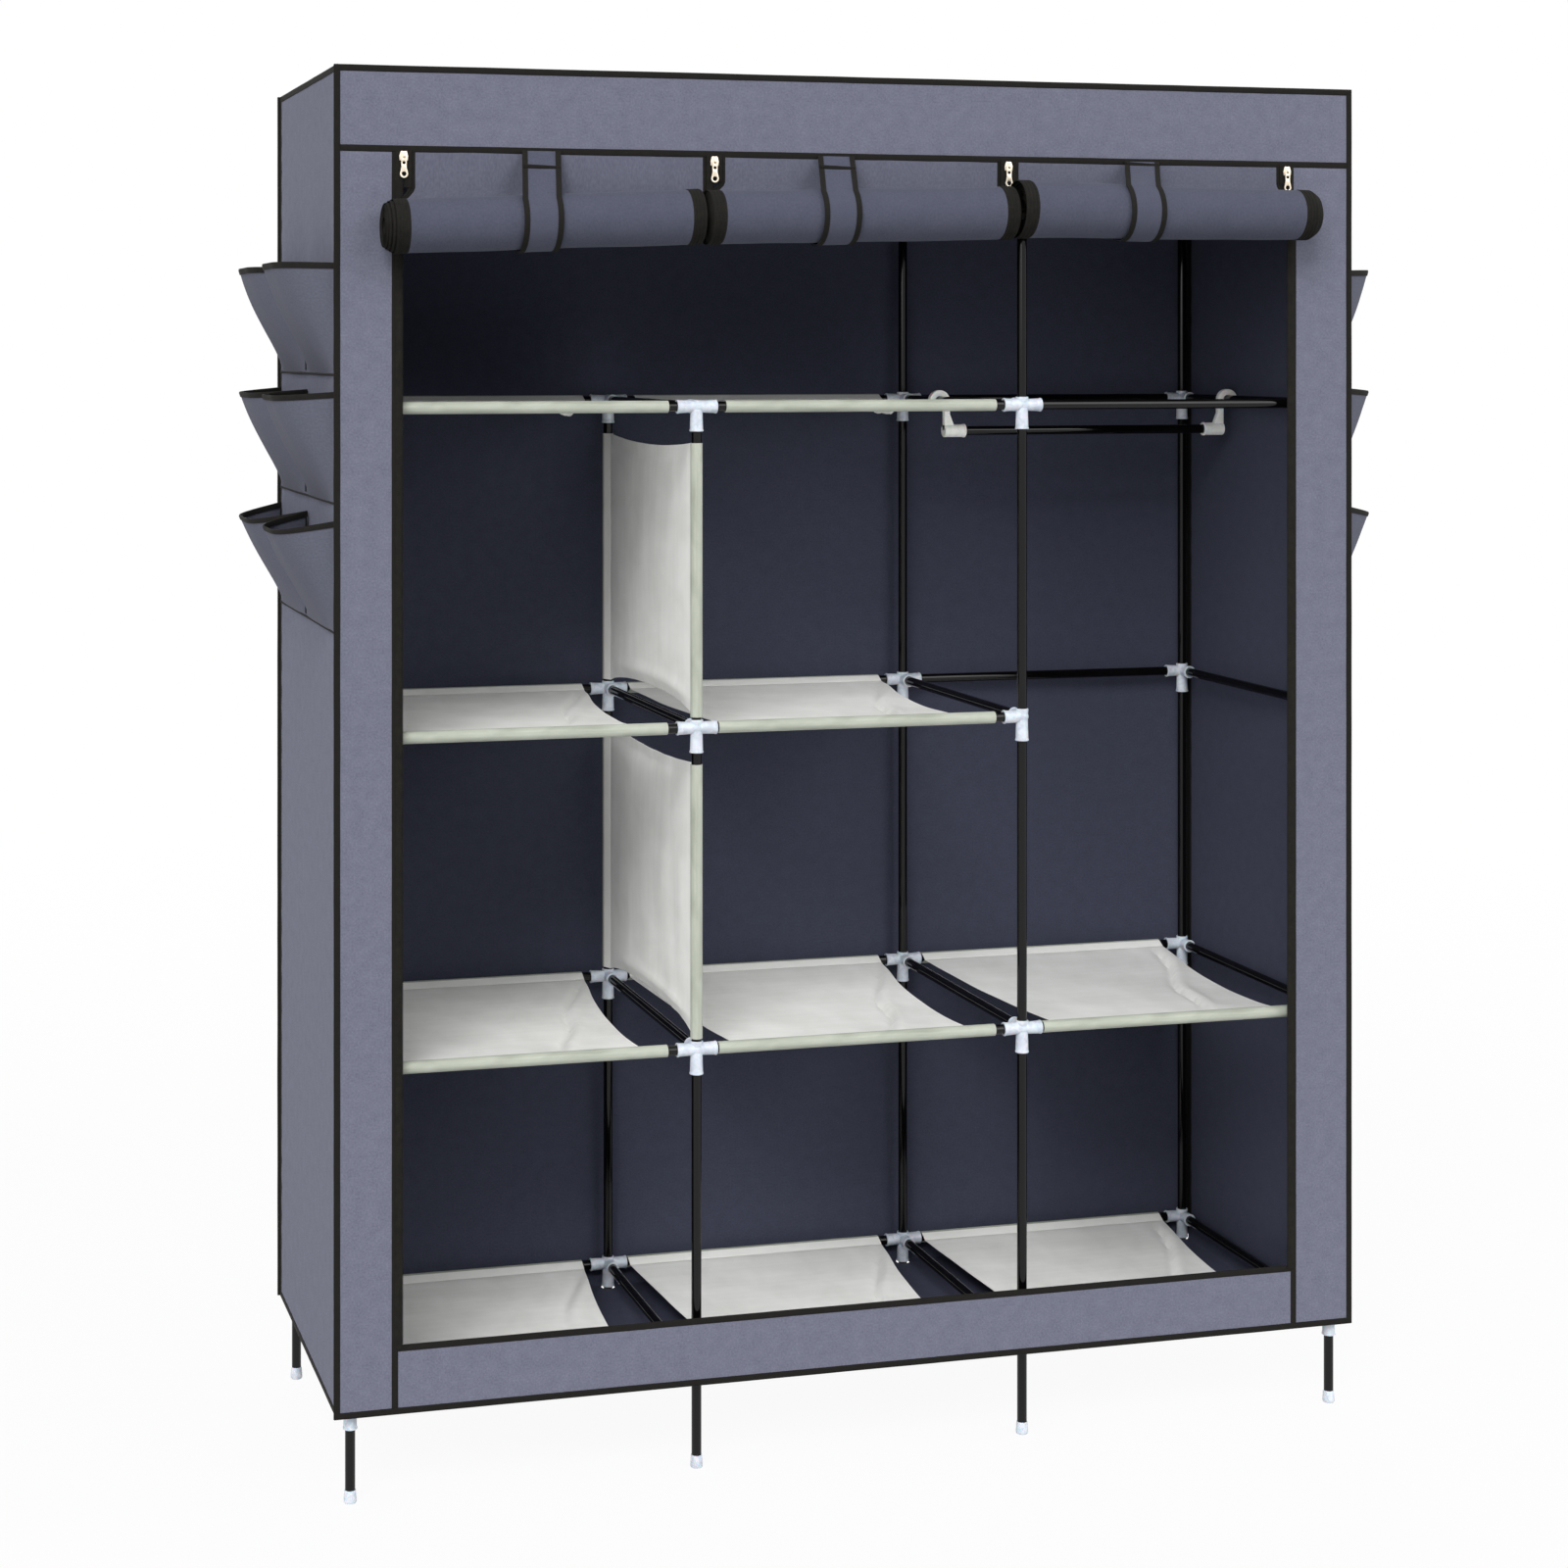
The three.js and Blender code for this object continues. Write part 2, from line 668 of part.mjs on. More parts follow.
// The pull tab hangs from its axis
function zipPull(index) {
  const half = pullWidth / 2;
  const slotTop = -rimHeight / 2;
  const slotEnd = slotTop - pullSlotLength;
  const shoulder = pullSlotWidth / 2 + pullThickness;
  const waistZ = -pullLength / 2;
  const endCentre = -(pullLength - half);
  const sweep = arc(0, endCentre, half, 0, -Math.PI, pullEndSteps);
  const outline = [
    [-shoulder, rimHeight / 2],
    [-shoulder, slotEnd - pullThickness],
    [-pullWaist / 2, waistZ],
    ...sweep.reverse(),
    [pullWaist / 2, waistZ],
    [shoulder, slotEnd - pullThickness],
    [shoulder, rimHeight / 2],
  ];
  const slotHalf = pullSlotWidth / 2;
  const slot = [
    [-slotHalf, slotTop],
    [-slotHalf, slotEnd],
    [slotHalf, slotEnd],
    [slotHalf, slotTop],
  ];
  const turn = (2 * Math.PI) / pullHoleSides;
  const hole = arc(0, endCentre, pullHoleDiameter / 2, 0, 2 * Math.PI - turn, pullHoleSides - 1);
  const tab = extruded(outline, pullThickness, [slot, hole]).applyMatrix4(forwards);
  tab.translate(0, pullThickness / 2, 0);
  return piece(`zip_pull_${index + 1}`, tab, nickel, zipX(index), pullAxisY, pullAxisZ);
}

// Side pockets: a strip of cloth sewn down at its ends, its lower edge and between the pockets.
// side is -1 on the left and 1 on the right.
function pocketRow(side, row) {
  const rowWidth = coverDepth - 2 * pocketRowMargin;
  const pitch = rowWidth / rowPocketCount;
  const across = rowPocketCount * (pocketStepsAcross + 1) + 1;
  const place = (i, upShare) => {
    const pocket = Math.min(Math.floor(i / (pocketStepsAcross + 1)), rowPocketCount - 1);
    const step = i - pocket * (pocketStepsAcross + 1);
    const seam = step <= 0 || step > pocketStepsAcross;
    const share = (step - 1 / 2) / pocketStepsAcross;
    const planShare = seam ? 0 : 1 - (1 - bow(share)) ** 2; // the mouth is nearly square in plan
    const profileShare = Math.sin((Math.PI / 2) * upShare);
    const start = pocket * pitch + pocketSeam / 2;
    const sewn = step <= 0 ? pocket * pitch : (pocket + 1) * pitch;
    const along = seam ? sewn : start + share * (pitch - pocketSeam);
    return [pocketBulge * planShare * profileShare, along - rowWidth / 2, pocketHeight * upShare];
  };
  const outer = [];
  for (let j = 0; j <= pocketStepsUp; j += 1) {
    for (let i = 0; i < across; i += 1) outer.push(place(i, j / pocketStepsUp));
  }
  const at = (i, j) => j * across + i;
  const clampI = (i) => Math.min(Math.max(i, 0), across - 1);
  const clampJ = (j) => Math.min(Math.max(j, 0), pocketStepsUp);
  const points = outer.map(([x, y, z]) => new THREE.Vector3(x, y, z));
  const raised = [];
  for (let j = 0; j <= pocketStepsUp; j += 1) {
    for (let i = 0; i < across; i += 1) {
      const along = points[at(clampI(i + 1), j)].clone().sub(points[at(clampI(i - 1), j)]);
      const upwards = points[at(i, clampJ(j + 1))].clone().sub(points[at(i, clampJ(j - 1))]);
      const normal = along.cross(upwards).normalize();
      raised.push(points[at(i, j)].clone().addScaledVector(normal, clothThickness));
    }
  }
  const count = points.length;
  const faces = [];
  const quad = (a, b, c, d) => faces.push(a, b, c, a, c, d);
  for (let j = 0; j < pocketStepsUp; j += 1) {
    for (let i = 0; i < across - 1; i += 1) {
      quad(count + at(i, j), count + at(i + 1, j), count + at(i + 1, j + 1), count + at(i, j + 1));
      quad(at(i, j), at(i, j + 1), at(i + 1, j + 1), at(i + 1, j));
    }
    quad(at(0, j), count + at(0, j), count + at(0, j + 1), at(0, j + 1));
    const last = at(across - 1, j);
    const above = at(across - 1, j + 1);
    quad(last, above, count + above, count + last);
  }
  for (let i = 0; i < across - 1; i += 1) {
    quad(at(i, 0), at(i + 1, 0), count + at(i + 1, 0), count + at(i, 0));
    const j = pocketStepsUp;
    quad(at(i, j), count + at(i, j), count + at(i + 1, j), at(i + 1, j));
  }
  if (side < 0) faces.reverse();
  const geometry = new THREE.BufferGeometry();
  const corners = [...points, ...raised].flatMap((point) => [side * point.x, point.y, point.z]);
  geometry.setAttribute("position", new THREE.Float32BufferAttribute(corners, 3));
  geometry.setIndex(faces);
  geometry.computeVertexNormals();
  const sideName = side < 0 ? "left" : "right";
  const x = side * (coverWidth / 2 + clearance);
  const z = coverHeight - firstMouthDrop - row * pocketRowSpacing - pocketHeight;
  return piece(`pocket_row_${sideName}_${row + 1}`, geometry, pocketCloth, x, 0, z);
}

// Hanging rod and the hooks that hold it. side is -1 for the left hook and 1 for the right one.
const rodY = rodSetback - rowPitch / 2;
const rodZ = levelZ(rodLevel) - rodDrop;
const hookInner = boreRadius;
const hookOuter = hookInner + hookBand;

function rodHook(side) {
  const tip = THREE.MathUtils.degToRad(hookTipAngle);
  const legEnd = -rodDrop;
  const hookSocketRadius = hookSocketDiameter / 2;
  const outline = [
    ...arc(0, 0, hookOuter, tip, 0, hookArcSteps),
    [hookOuter, -hookGussetTop],
    [hookOuter + hookGussetReach, legEnd],
    [hookInner, legEnd],
    ...arc(0, 0, hookInner, 0, tip, hookArcSteps),
  ];
  const band = extruded(outline, hookWidth).applyMatrix4(forwards).translate(0, hookWidth / 2, 0);
  const socketEnd = hookOuter + hookSocketLength;
  const socket = bar("x", hookSocketRadius, hookInner, socketEnd, 0, 0, legEnd);
  const bore = bar("x", boreRadius, hookOuter, socketEnd + cutOverrun, 0, 0, legEnd);
  const geometry = joined([band, socket], [bore]);
  if (side > 0) geometry.rotateZ(Math.PI);
  const column = side < 0 ? rightBay : rightBay + 1;
  const name = side < 0 ? "rod_hook_left" : "rod_hook_right";
  return piece(name, geometry, whitePlastic, columnX(column), rodY, levelZ(rodLevel));
}

function hangingRod() {
  const from = columnX(rightBay) + hookOuter + clearance;
  const to = columnX(rightBay + 1) - hookOuter - clearance;
  return piece("hanging_rod", bar("x", tubeRadius, from, to, 0, 0, 0), blackSteel, 0, rodY, rodZ);
}

// The whole wardrobe, with the middle of its outline over the origin
const frame = new THREE.Group();
for (let level = 0; level < levelCount; level += 1) frame.add(tierFrame(level));
for (const row of rows) {
  for (let column = 0; column < columnCount; column += 1) frame.add(post(column, row));
}

const innerCloth = new THREE.Group();
for (let level = 0; level < topLevel; level += 1) {
  for (let bay = 0; bay < columnCount - 1; bay += 1) {
    if (level < openLevel || bay < rightBay) innerCloth.add(shelf(level, bay));
  }
}
innerCloth.add(divider("divider_lower", openLevel - 1), divider("divider_upper", openLevel));

const rod = new THREE.Group();
rod.add(hangingRod(), rodHook(-1), rodHook(1));

const cover = new THREE.Group();
cover.add(...coverPanels());
for (let index = 0; index < curtains.length; index += 1) cover.add(curtain(index), tieStrap(index));
for (let index = 0; index <= curtains.length; index += 1) {
  cover.add(zipTape(index), zipSlider(index), zipPull(index));
}
for (let row = 0; row < pocketRowCount; row += 1) cover.add(pocketRow(-1, row), pocketRow(1, row));

const wardrobe = new THREE.Group();
wardrobe.add(frame, innerCloth, rod, cover);
const reach = new THREE.Box3().setFromObject(wardrobe);
wardrobe.position.y = -(reach.min.y + reach.max.y) / 2;

export default wardrobe;
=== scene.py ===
# Portable fabric wardrobe: cloth, bindings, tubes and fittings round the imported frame.
import math

import bmesh
import bpy
from mathutils import Matrix, Vector, noise


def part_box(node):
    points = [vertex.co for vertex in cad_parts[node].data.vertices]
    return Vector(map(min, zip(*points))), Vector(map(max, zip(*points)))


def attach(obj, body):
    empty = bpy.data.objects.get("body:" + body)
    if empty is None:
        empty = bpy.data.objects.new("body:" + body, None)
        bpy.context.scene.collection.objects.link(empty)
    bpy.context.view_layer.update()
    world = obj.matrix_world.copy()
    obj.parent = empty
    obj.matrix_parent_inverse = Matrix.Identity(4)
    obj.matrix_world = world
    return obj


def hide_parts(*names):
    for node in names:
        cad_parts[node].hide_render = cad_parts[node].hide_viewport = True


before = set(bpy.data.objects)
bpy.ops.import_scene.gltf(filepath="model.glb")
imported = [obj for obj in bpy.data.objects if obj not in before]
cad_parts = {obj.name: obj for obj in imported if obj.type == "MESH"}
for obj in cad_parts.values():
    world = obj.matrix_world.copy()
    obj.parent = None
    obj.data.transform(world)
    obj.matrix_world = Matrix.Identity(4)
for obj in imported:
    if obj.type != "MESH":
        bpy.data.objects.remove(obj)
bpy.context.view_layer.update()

mm = 0.001
print("frame:", len(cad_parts), "nodes")


# Camera, lights and floor
cameraSetup = {
    "place": (-1192.8, -3444.9, 1343.6),  # mm
    "turn": 14.548,  # degrees to the right of straight on, level
    "focal": 2898.5,  # pixels
    "axis": (601.6, 356.3),  # pixels, where the line straight ahead of the camera meets the picture
    "picture": 1600,  # pixels
    "sensor": 36,  # mm
    "reach": 100,  # m
}
lightSetup = {  # lamps: degrees from the front and above the floor, degrees of spread, W/m2
    "key": {"from": -29, "height": 42, "spread": 28, "strength": 2.0},
    "front": {"from": -40, "height": 15, "spread": 30, "strength": 0.7},
    "fill": {"from": 34, "height": 28, "spread": 40, "strength": 1.15},
    "leftSide": {"from": -84, "height": 18, "spread": 30, "strength": 0.75},
    "rightSide": {"from": 84, "height": 18, "spread": 30, "strength": 1.0},
    "rear": {"from": 165, "height": 20, "spread": 30, "strength": 1.0},
}
roomSetup = {
    "sky": 0.22,  # what the white room gives from all sides
    "lampDistance": 6,  # m
    "floorHalf": 12,  # m
    "floorPaper": "d2d2d2",
    "floorLift": 0.94,  # share of the floor near the object that shows as plain white
    "floorFade": (1.6, 4.5),  # m from the object over which the rest fades into white
}


def toLinear(colour):
    channels = [int(colour[i:i + 2], 16) / 255 for i in (0, 2, 4)]
    linear = [c / 12.92 if c <= 0.04045 else ((c + 0.055) / 1.055) ** 2.4 for c in channels]
    return linear + [1.0]


def addNode(tree, kind, settings=None, links=None):
    node = tree.nodes.new(kind)
    for key, value in (settings or {}).items():
        if isinstance(key, str) and hasattr(node, key):
            setattr(node, key, value)
        else:
            node.inputs[key].default_value = value
    for key, source in (links or {}).items():
        tree.links.new(source, node.inputs[key])
    return node


def addCamera():
    data = bpy.data.cameras.new("photoView")
    camera = bpy.data.objects.new("photoView", data)
    bpy.context.scene.collection.objects.link(camera)
    picture = cameraSetup["picture"]
    data.sensor_width = cameraSetup["sensor"]
    data.lens = cameraSetup["focal"] / picture * cameraSetup["sensor"]
    across, down = cameraSetup["axis"]
    data.shift_x = (picture / 2 - across) / picture
    data.shift_y = (down - picture / 2) / picture
    data.clip_end = cameraSetup["reach"]
    camera.location = Vector(cameraSetup["place"]) * mm
    camera.rotation_euler = (math.radians(90), 0, -math.radians(cameraSetup["turn"]))
    bpy.context.scene.camera = camera


def addLamp(name, setup):
    data = bpy.data.lights.new(name, "SUN")
    data.energy = setup["strength"]
    data.angle = math.radians(setup["spread"])
    lamp = bpy.data.objects.new(name, data)
    bpy.context.scene.collection.objects.link(lamp)
    side, height = math.radians(setup["from"]), math.radians(setup["height"])
    level = math.cos(height)
    place = Vector((math.sin(side) * level, -math.cos(side) * level, math.sin(height)))
    lamp.location = place * roomSetup["lampDistance"]
    lamp.rotation_euler = (-place).to_track_quat("-Z", "Y").to_euler()


# 1 on the rays of these kinds, 0 on all others
def raysOf(tree, *kinds):
    ray = addNode(tree, "ShaderNodeLightPath")
    seen = ray.outputs[kinds[0]]
    for kind in kinds[1:]:
        seen = addNode(tree, "ShaderNodeMath", {"operation": "MAXIMUM"},
                       {0: seen, 1: ray.outputs[kind]}).outputs[0]
    return seen


def addWorld():
    world = bpy.data.worlds.new("whiteRoom")
    bpy.context.scene.world = world
    world.use_nodes = True
    tree = world.node_tree
    tree.nodes.clear()
    white = toLinear("ffffff")
    room = addNode(tree, "ShaderNodeBackground", {"Color": white, "Strength": roomSetup["sky"]})
    backdrop = addNode(tree, "ShaderNodeBackground", {"Color": white, "Strength": 1.0})
    seen = raysOf(tree, "Is Camera Ray", "Is Glossy Ray", "Is Transmission Ray")
    mix = addNode(tree, "ShaderNodeMixShader", {},
                  {0: seen, 1: room.outputs[0], 2: backdrop.outputs[0]})
    addNode(tree, "ShaderNodeOutputWorld", {}, {"Surface": mix.outputs[0]})


def addFloor():
    bm = bmesh.new()
    bmesh.ops.create_grid(bm, x_segments=1, y_segments=1, size=roomSetup["floorHalf"])
    mesh = bpy.data.meshes.new("floor")
    bm.to_mesh(mesh)
    bm.free()
    floor = bpy.data.objects.new("floor", mesh)
    bpy.context.scene.collection.objects.link(floor)
    material = bpy.data.materials.new("whitePaperFloor")
    material.use_nodes = True
    tree = material.node_tree
    tree.nodes.clear()
    paper = addNode(tree, "ShaderNodeBsdfDiffuse", {"Color": toLinear(roomSetup["floorPaper"])})
    white = addNode(tree, "ShaderNodeEmission", {"Strength": 1.0})
    place = addNode(tree, "ShaderNodeTexCoord").outputs["Object"]
    away = addNode(tree, "ShaderNodeVectorMath", {"operation": "LENGTH"}, {0: place})
    near, far = roomSetup["floorFade"]
    share = addNode(tree, "ShaderNodeMapRange",
                    {"From Min": near, "From Max": far, "To Min": roomSetup["floorLift"],
                     "To Max": 1.0},
                    {"Value": away.outputs["Value"]})
    lift = addNode(tree, "ShaderNodeMath", {"operation": "MULTIPLY"},
                   {0: raysOf(tree, "Is Camera Ray", "Is Glossy Ray"), 1: share.outputs["Result"]})
    mix = addNode(tree, "ShaderNodeMixShader", {},
                  {0: lift.outputs[0], 1: paper.outputs[0], 2: white.outputs[0]})
    addNode(tree, "ShaderNodeOutputMaterial", {}, {"Surface": mix.outputs[0]})
    mesh.materials.append(material)


bpy.context.scene.view_settings.view_transform = "Standard"
addCamera()
addWorld()
addFloor()
for lampName, lampSetup in lightSetup.items():
    addLamp(lampName, lampSetup)
print("camera, room and lamps")


# Materials
clothLooks = {
    "mottle": 16,  # mm, thicker and thinner places in the web of fibres
    "speckle": 2.4,  # mm, clumps of fibre, drawn coarser than real so that they show
    "bondPoints": 2.6,  # mm between the calender's points, drawn coarser than real
    "bumpDepth": 0.25,  # mm
}


def startMaterial(name, colour, roughness, settings=None):
    material = bpy.data.materials.new(name)
    material.use_nodes = True
    shader = material.node_tree.nodes["Principled BSDF"]
    shader.inputs["Base Color"].default_value = toLinear(colour)
    shader.inputs["Roughness"].default_value = roughness
    for key, value in (settings or {}).items():
        shader.inputs[key].default_value = value
    return material, material.node_tree, shader


# Links two colours, mixed by share, and a relief whose depth is in mm
def finishSurface(tree, shader, relief, strength, depth, colours=None, share=None):
    if colours:
        first, second = map(toLinear, colours)
        mix = addNode(tree, "ShaderNodeMix", {"data_type": "RGBA", 6: first, 7: second}, {0: share})
        tree.links.new(mix.outputs[2], shader.inputs["Base Color"])
    bump = addNode(tree, "ShaderNodeBump", {"Strength": strength, "Distance": depth * mm},
                   {"Height": relief})
    tree.links.new(bump.outputs["Normal"], shader.inputs["Normal"])


# Spunbond polypropylene: matt, slightly cloudy, with a fine embossed grain
def spunbondCloth(name, light, dark, sheen=0.04, cloudiness=1.0):
    material, tree, shader = startMaterial(name, light, 0.95,
                                           {"Sheen Weight": sheen, "Specular IOR Level": 0.1})
    place = addNode(tree, "ShaderNodeTexCoord").outputs["UV"]
    mottle = addNode(tree, "ShaderNodeTexNoise",
                     {"Scale": 1 / (clothLooks["mottle"] * mm), "Detail": 3.0}, {"Vector": place})
    speckle = addNode(tree, "ShaderNodeTexNoise",
                      {"Scale": 1 / (clothLooks["speckle"] * mm), "Detail": 2.0}, {"Vector": place})
    both = addNode(tree, "ShaderNodeMath", {"operation": "MULTIPLY_ADD", 1: 0.45 * cloudiness},
                   {0: mottle.outputs["Fac"], 2: speckle.outputs["Fac"]})
    share = addNode(tree, "ShaderNodeMapRange", {"From Min": 0.45, "From Max": 1.0},
                    {"Value": both.outputs[0]})
    points = addNode(tree, "ShaderNodeTexVoronoi",
                     {"Scale": 1 / (clothLooks["bondPoints"] * mm), "Randomness": 0.2},
                     {"Vector": place})
    relief = addNode(tree, "ShaderNodeMath", {"operation": "MULTIPLY_ADD", 1: 0.6},
                     {0: points.outputs["Distance"], 2: speckle.outputs["Fac"]})
    finishSurface(tree, shader, relief.outputs[0], 0.35, clothLooks["bumpDepth"], (dark, light),
                  share.outputs["Result"])
    return material


shelfLooks = {"cloud": 55, "streak": 9, "streakLength": 160, "grain": 2.2, "bumpDepth": 0.2}  # mm


# Laminated non-woven: silvery grey, faintly glossy, clouded and streaked lengthwise
def laminatedCloth(name, dark, light):
    material, tree, shader = startMaterial(name, light, 0.52,
                                           {"Sheen Weight": 0.1, "Specular IOR Level": 0.4})
    place = addNode(tree, "ShaderNodeTexCoord").outputs["UV"]
    cloud = addNode(tree, "ShaderNodeTexNoise",
                    {"Scale": 1 / (shelfLooks["cloud"] * mm), "Detail": 4.0, "Distortion": 0.4},
                    {"Vector": place})
    streakScale = (1 / (shelfLooks["streakLength"] * mm), 1 / (shelfLooks["streak"] * mm), 1)
    stretch = addNode(tree, "ShaderNodeMapping", {"Scale": streakScale}, {"Vector": place})
    streak = addNode(tree, "ShaderNodeTexNoise", {"Scale": 1.0, "Detail": 3.0},
                     {"Vector": stretch.outputs[0]})
    both = addNode(tree, "ShaderNodeMath", {"operation": "MULTIPLY_ADD", 1: 0.5},
                   {0: streak.outputs["Fac"], 2: cloud.outputs["Fac"]})
    share = addNode(tree, "ShaderNodeMapRange", {"From Min": 0.5, "From Max": 1.0},
                    {"Value": both.outputs[0]})
    grain = addNode(tree, "ShaderNodeTexNoise",
                    {"Scale": 1 / (shelfLooks["grain"] * mm), "Detail": 2.0}, {"Vector": place})
    finishSurface(tree, shader, grain.outputs["Fac"], 0.3, shelfLooks["bumpDepth"], (dark, light),
                  share.outputs["Result"])
    return material


tapeLooks = {"ribs": 1.6, "patch": 7, "bumpDepth": 0.3}  # mm


# Woven polyester tape: near black and matt, with fine ribs across it; the lighter colour laid on
# the ribs, patchy by the noise, is a painted highlight where they catch some light
def wovenTape(name, light, dark):
    material, tree, shader = startMaterial(name, dark, 0.85,
                                           {"Sheen Weight": 0.0, "Specular IOR Level": 0.15})
    place = addNode(tree, "ShaderNodeTexCoord").outputs["Object"]
    ribs = addNode(tree, "ShaderNodeTexVoronoi",
                   {"Scale": 1 / (tapeLooks["ribs"] * mm), "Randomness": 0.35}, {"Vector": place})
    patch = addNode(tree, "ShaderNodeTexNoise",
                    {"Scale": 1 / (tapeLooks["patch"] * mm), "Detail": 3.0}, {"Vector": place})
    # painted highlight: the lighter colour follows the ribs
    share = addNode(tree, "ShaderNodeMath", {"operation": "MULTIPLY"},
                    {0: ribs.outputs["Distance"], 1: patch.outputs["Fac"]})
    finishSurface(tree, shader, ribs.outputs["Distance"], 0.5, tapeLooks["bumpDepth"],
                  (dark, light), share.outputs[0])
    return material


enamelLooks = {"orangePeel": 6, "smudge": 40, "bumpDepth": 0.01}  # mm


# Baked black enamel on steel tube: glossy, faintly uneven, with a warm tinge
def blackEnamel():
    material, tree, shader = startMaterial("blackEnamel", "070606", 0.18,
                                           {"Specular IOR Level": 0.28})
    place = addNode(tree, "ShaderNodeTexCoord").outputs["Object"]
    smudge = addNode(tree, "ShaderNodeTexNoise",
                     {"Scale": 1 / (enamelLooks["smudge"] * mm), "Detail": 4.0}, {"Vector": place})
    rough = addNode(tree, "ShaderNodeMapRange", {"To Min": 0.05, "To Max": 0.11},
                    {"Value": smudge.outputs["Fac"]})
    tree.links.new(rough.outputs["Result"], shader.inputs["Roughness"])
    peel = addNode(tree, "ShaderNodeTexNoise", {"Scale": 1 / (enamelLooks["orangePeel"] * mm)},
                   {"Vector": place})
    finishSurface(tree, shader, peel.outputs["Fac"], 0.15, enamelLooks["bumpDepth"])
    return material


plasticLooks = {"flow": 9, "bumpDepth": 0.05, "milkiness": 2}  # mm


# Moulded natural polypropylene: milky, slightly see-through, with faint flow marks
def milkyPlastic(name, light, dark):
    scatter = plasticLooks["milkiness"] * mm
    material, tree, shader = startMaterial(
        name, light, 0.36,
        {"Subsurface Weight": 0.25, "Subsurface Scale": scatter, "IOR": 1.49})
    place = addNode(tree, "ShaderNodeTexCoord").outputs["Object"]
    flow = addNode(tree, "ShaderNodeTexNoise",
                   {"Scale": 1 / (plasticLooks["flow"] * mm), "Detail": 2.0, "Distortion": 1.0},
                   {"Vector": place})
    share = addNode(tree, "ShaderNodeMapRange", {"From Min": 0.35, "From Max": 0.6},
                    {"Value": flow.outputs["Fac"]})
    finishSurface(tree, shader, flow.outputs["Fac"], 0.2, plasticLooks["bumpDepth"], (dark, light),
                  share.outputs["Result"])
    return material


nickelLooks = {"wear": 2.5, "bumpDepth": 0.02}  # mm


# Nickel-plated zinc casting: warm pale metal, worn a little uneven
def platedNickel():
    material, tree, shader = startMaterial("platedNickel", "f0e2cc", 0.3, {"Metallic": 0.85})
    place = addNode(tree, "ShaderNodeTexCoord").outputs["Object"]
    wear = addNode(tree, "ShaderNodeTexNoise",
                   {"Scale": 1 / (nickelLooks["wear"] * mm), "Detail": 3.0}, {"Vector": place})
    rough = addNode(tree, "ShaderNodeMapRange", {"To Min": 0.2, "To Max": 0.42},
                    {"Value": wear.outputs["Fac"]})
    tree.links.new(rough.outputs["Result"], shader.inputs["Roughness"])
    finishSurface(tree, shader, wear.outputs["Fac"], 0.2, nickelLooks["bumpDepth"],
                  ("e2d2b8", "f7ecdb"), wear.outputs["Fac"])
    return material


coverCloth = spunbondCloth("greyBlueCoverCloth", "707282", "5d5f6e")
# the cover's own grey-blue cloth, drawn navy on its inner faces and on the floor: painted shade of
# the interior
innerShadeCloth = spunbondCloth("navyInnerShadeCloth", "454758", "3b3e4d", sheen=0.0)
curtainCloth = spunbondCloth("curtainFaceCloth", "646675", "565867")
# the curtain's cloth again, drawn darker as painted shade; it goes on the curtain's back face,
# which is the outside of the roll, and on the tie straps
rollShadeCloth = spunbondCloth("curtainRollShadedCloth", "4f5160", "444755")
# a smoother cloth, drawn darker than the cover: the darkness is painted shade, as the pockets face
# down and away from the lamps
pocketShadedCloth = spunbondCloth("pocketShadedCloth", "60626f", "545663", cloudiness=0.4)
shelfCloth = laminatedCloth("laminatedShelfCloth", "eaeae6", "f9f9f6")
# the shelf cloth again, darker: painted shade on the sleeves round the tubes
sleeveShadeCloth = laminatedCloth("laminatedSleeveShadedCloth", "92978a", "b4b9ad")
bindingTape = wovenTape("blackBindingTape", "22211e", "131210")
zipperTape = wovenTape("blackZipTape", "2a2823", "090908")
enamel = blackEnamel()
plastic = milkyPlastic("milkyConnectorPlastic", "cfd5de", "bbc3ce")
hookPlastic = milkyPlastic("whiteHookPlastic", "fafaf5", "eff0eb")
nickel = platedNickel()
print("materials")


# Mesh helpers; an open edge of cloth is marked sharp, so that its rim doesn't shade the cloth
def makePiece(name, bm, materials, body="root", replaces=(), sharpAngle=35):
    mesh = bpy.data.meshes.new(name)
    bm.edges.index_update()
    openEdges = [edge.index for edge in bm.edges if edge.is_boundary]
    bm.to_mesh(mesh)
    bm.free()
    for material in materials:
        mesh.materials.append(material)
    for polygon in mesh.polygons:
        polygon.use_smooth = True
    mesh.set_sharp_from_angle(angle=math.radians(sharpAngle))
    for index in openEdges:
        mesh.edges[index].use_edge_sharp = True
    piece = bpy.data.objects.new(name, mesh)
    bpy.context.scene.collection.objects.link(piece)
    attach(piece, body)
    if replaces:
        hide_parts(*replaces)
    return piece


def appendPart(bm, part, matrix=None, materialIndex=0):
    if matrix is not None:
        part.transform(matrix)
    for face in part.faces:
        face.material_index = materialIndex
    holder = bpy.data.meshes.new("part")
    part.to_mesh(holder)
    part.free()
    bm.from_mesh(holder)
    bpy.data.meshes.remove(holder)


def alongLine(start, end):
    start, end = Vector(start), Vector(end)
    turn = (end - start).to_track_quat("Z", "Y").to_matrix().to_4x4()
    return Matrix.Translation(start) @ turn


# A turned solid from [radius, height] points that start and end on the axis
def addTurned(bm, profile, matrix, steps=24, materialIndex=0):
    part = bmesh.new()
    points = [part.verts.new((radius * mm, 0, height * mm)) for radius, height in profile]
    lines = [part.edges.new(pair) for pair in zip(points, points[1:])]
    bmesh.ops.spin(part, geom=points + lines, cent=(0, 0, 0), axis=(0, 0, 1), dvec=(0, 0, 0),
                   angle=2 * math.pi, steps=steps, use_merge=True)
    bmesh.ops.remove_doubles(part, verts=part.verts, dist=0.002 * mm)
    bmesh.ops.dissolve_degenerate(part, edges=part.edges, dist=0.001 * mm)
    bmesh.ops.recalc_face_normals(part, faces=part.faces)
    appendPart(bm, part, matrix, materialIndex)


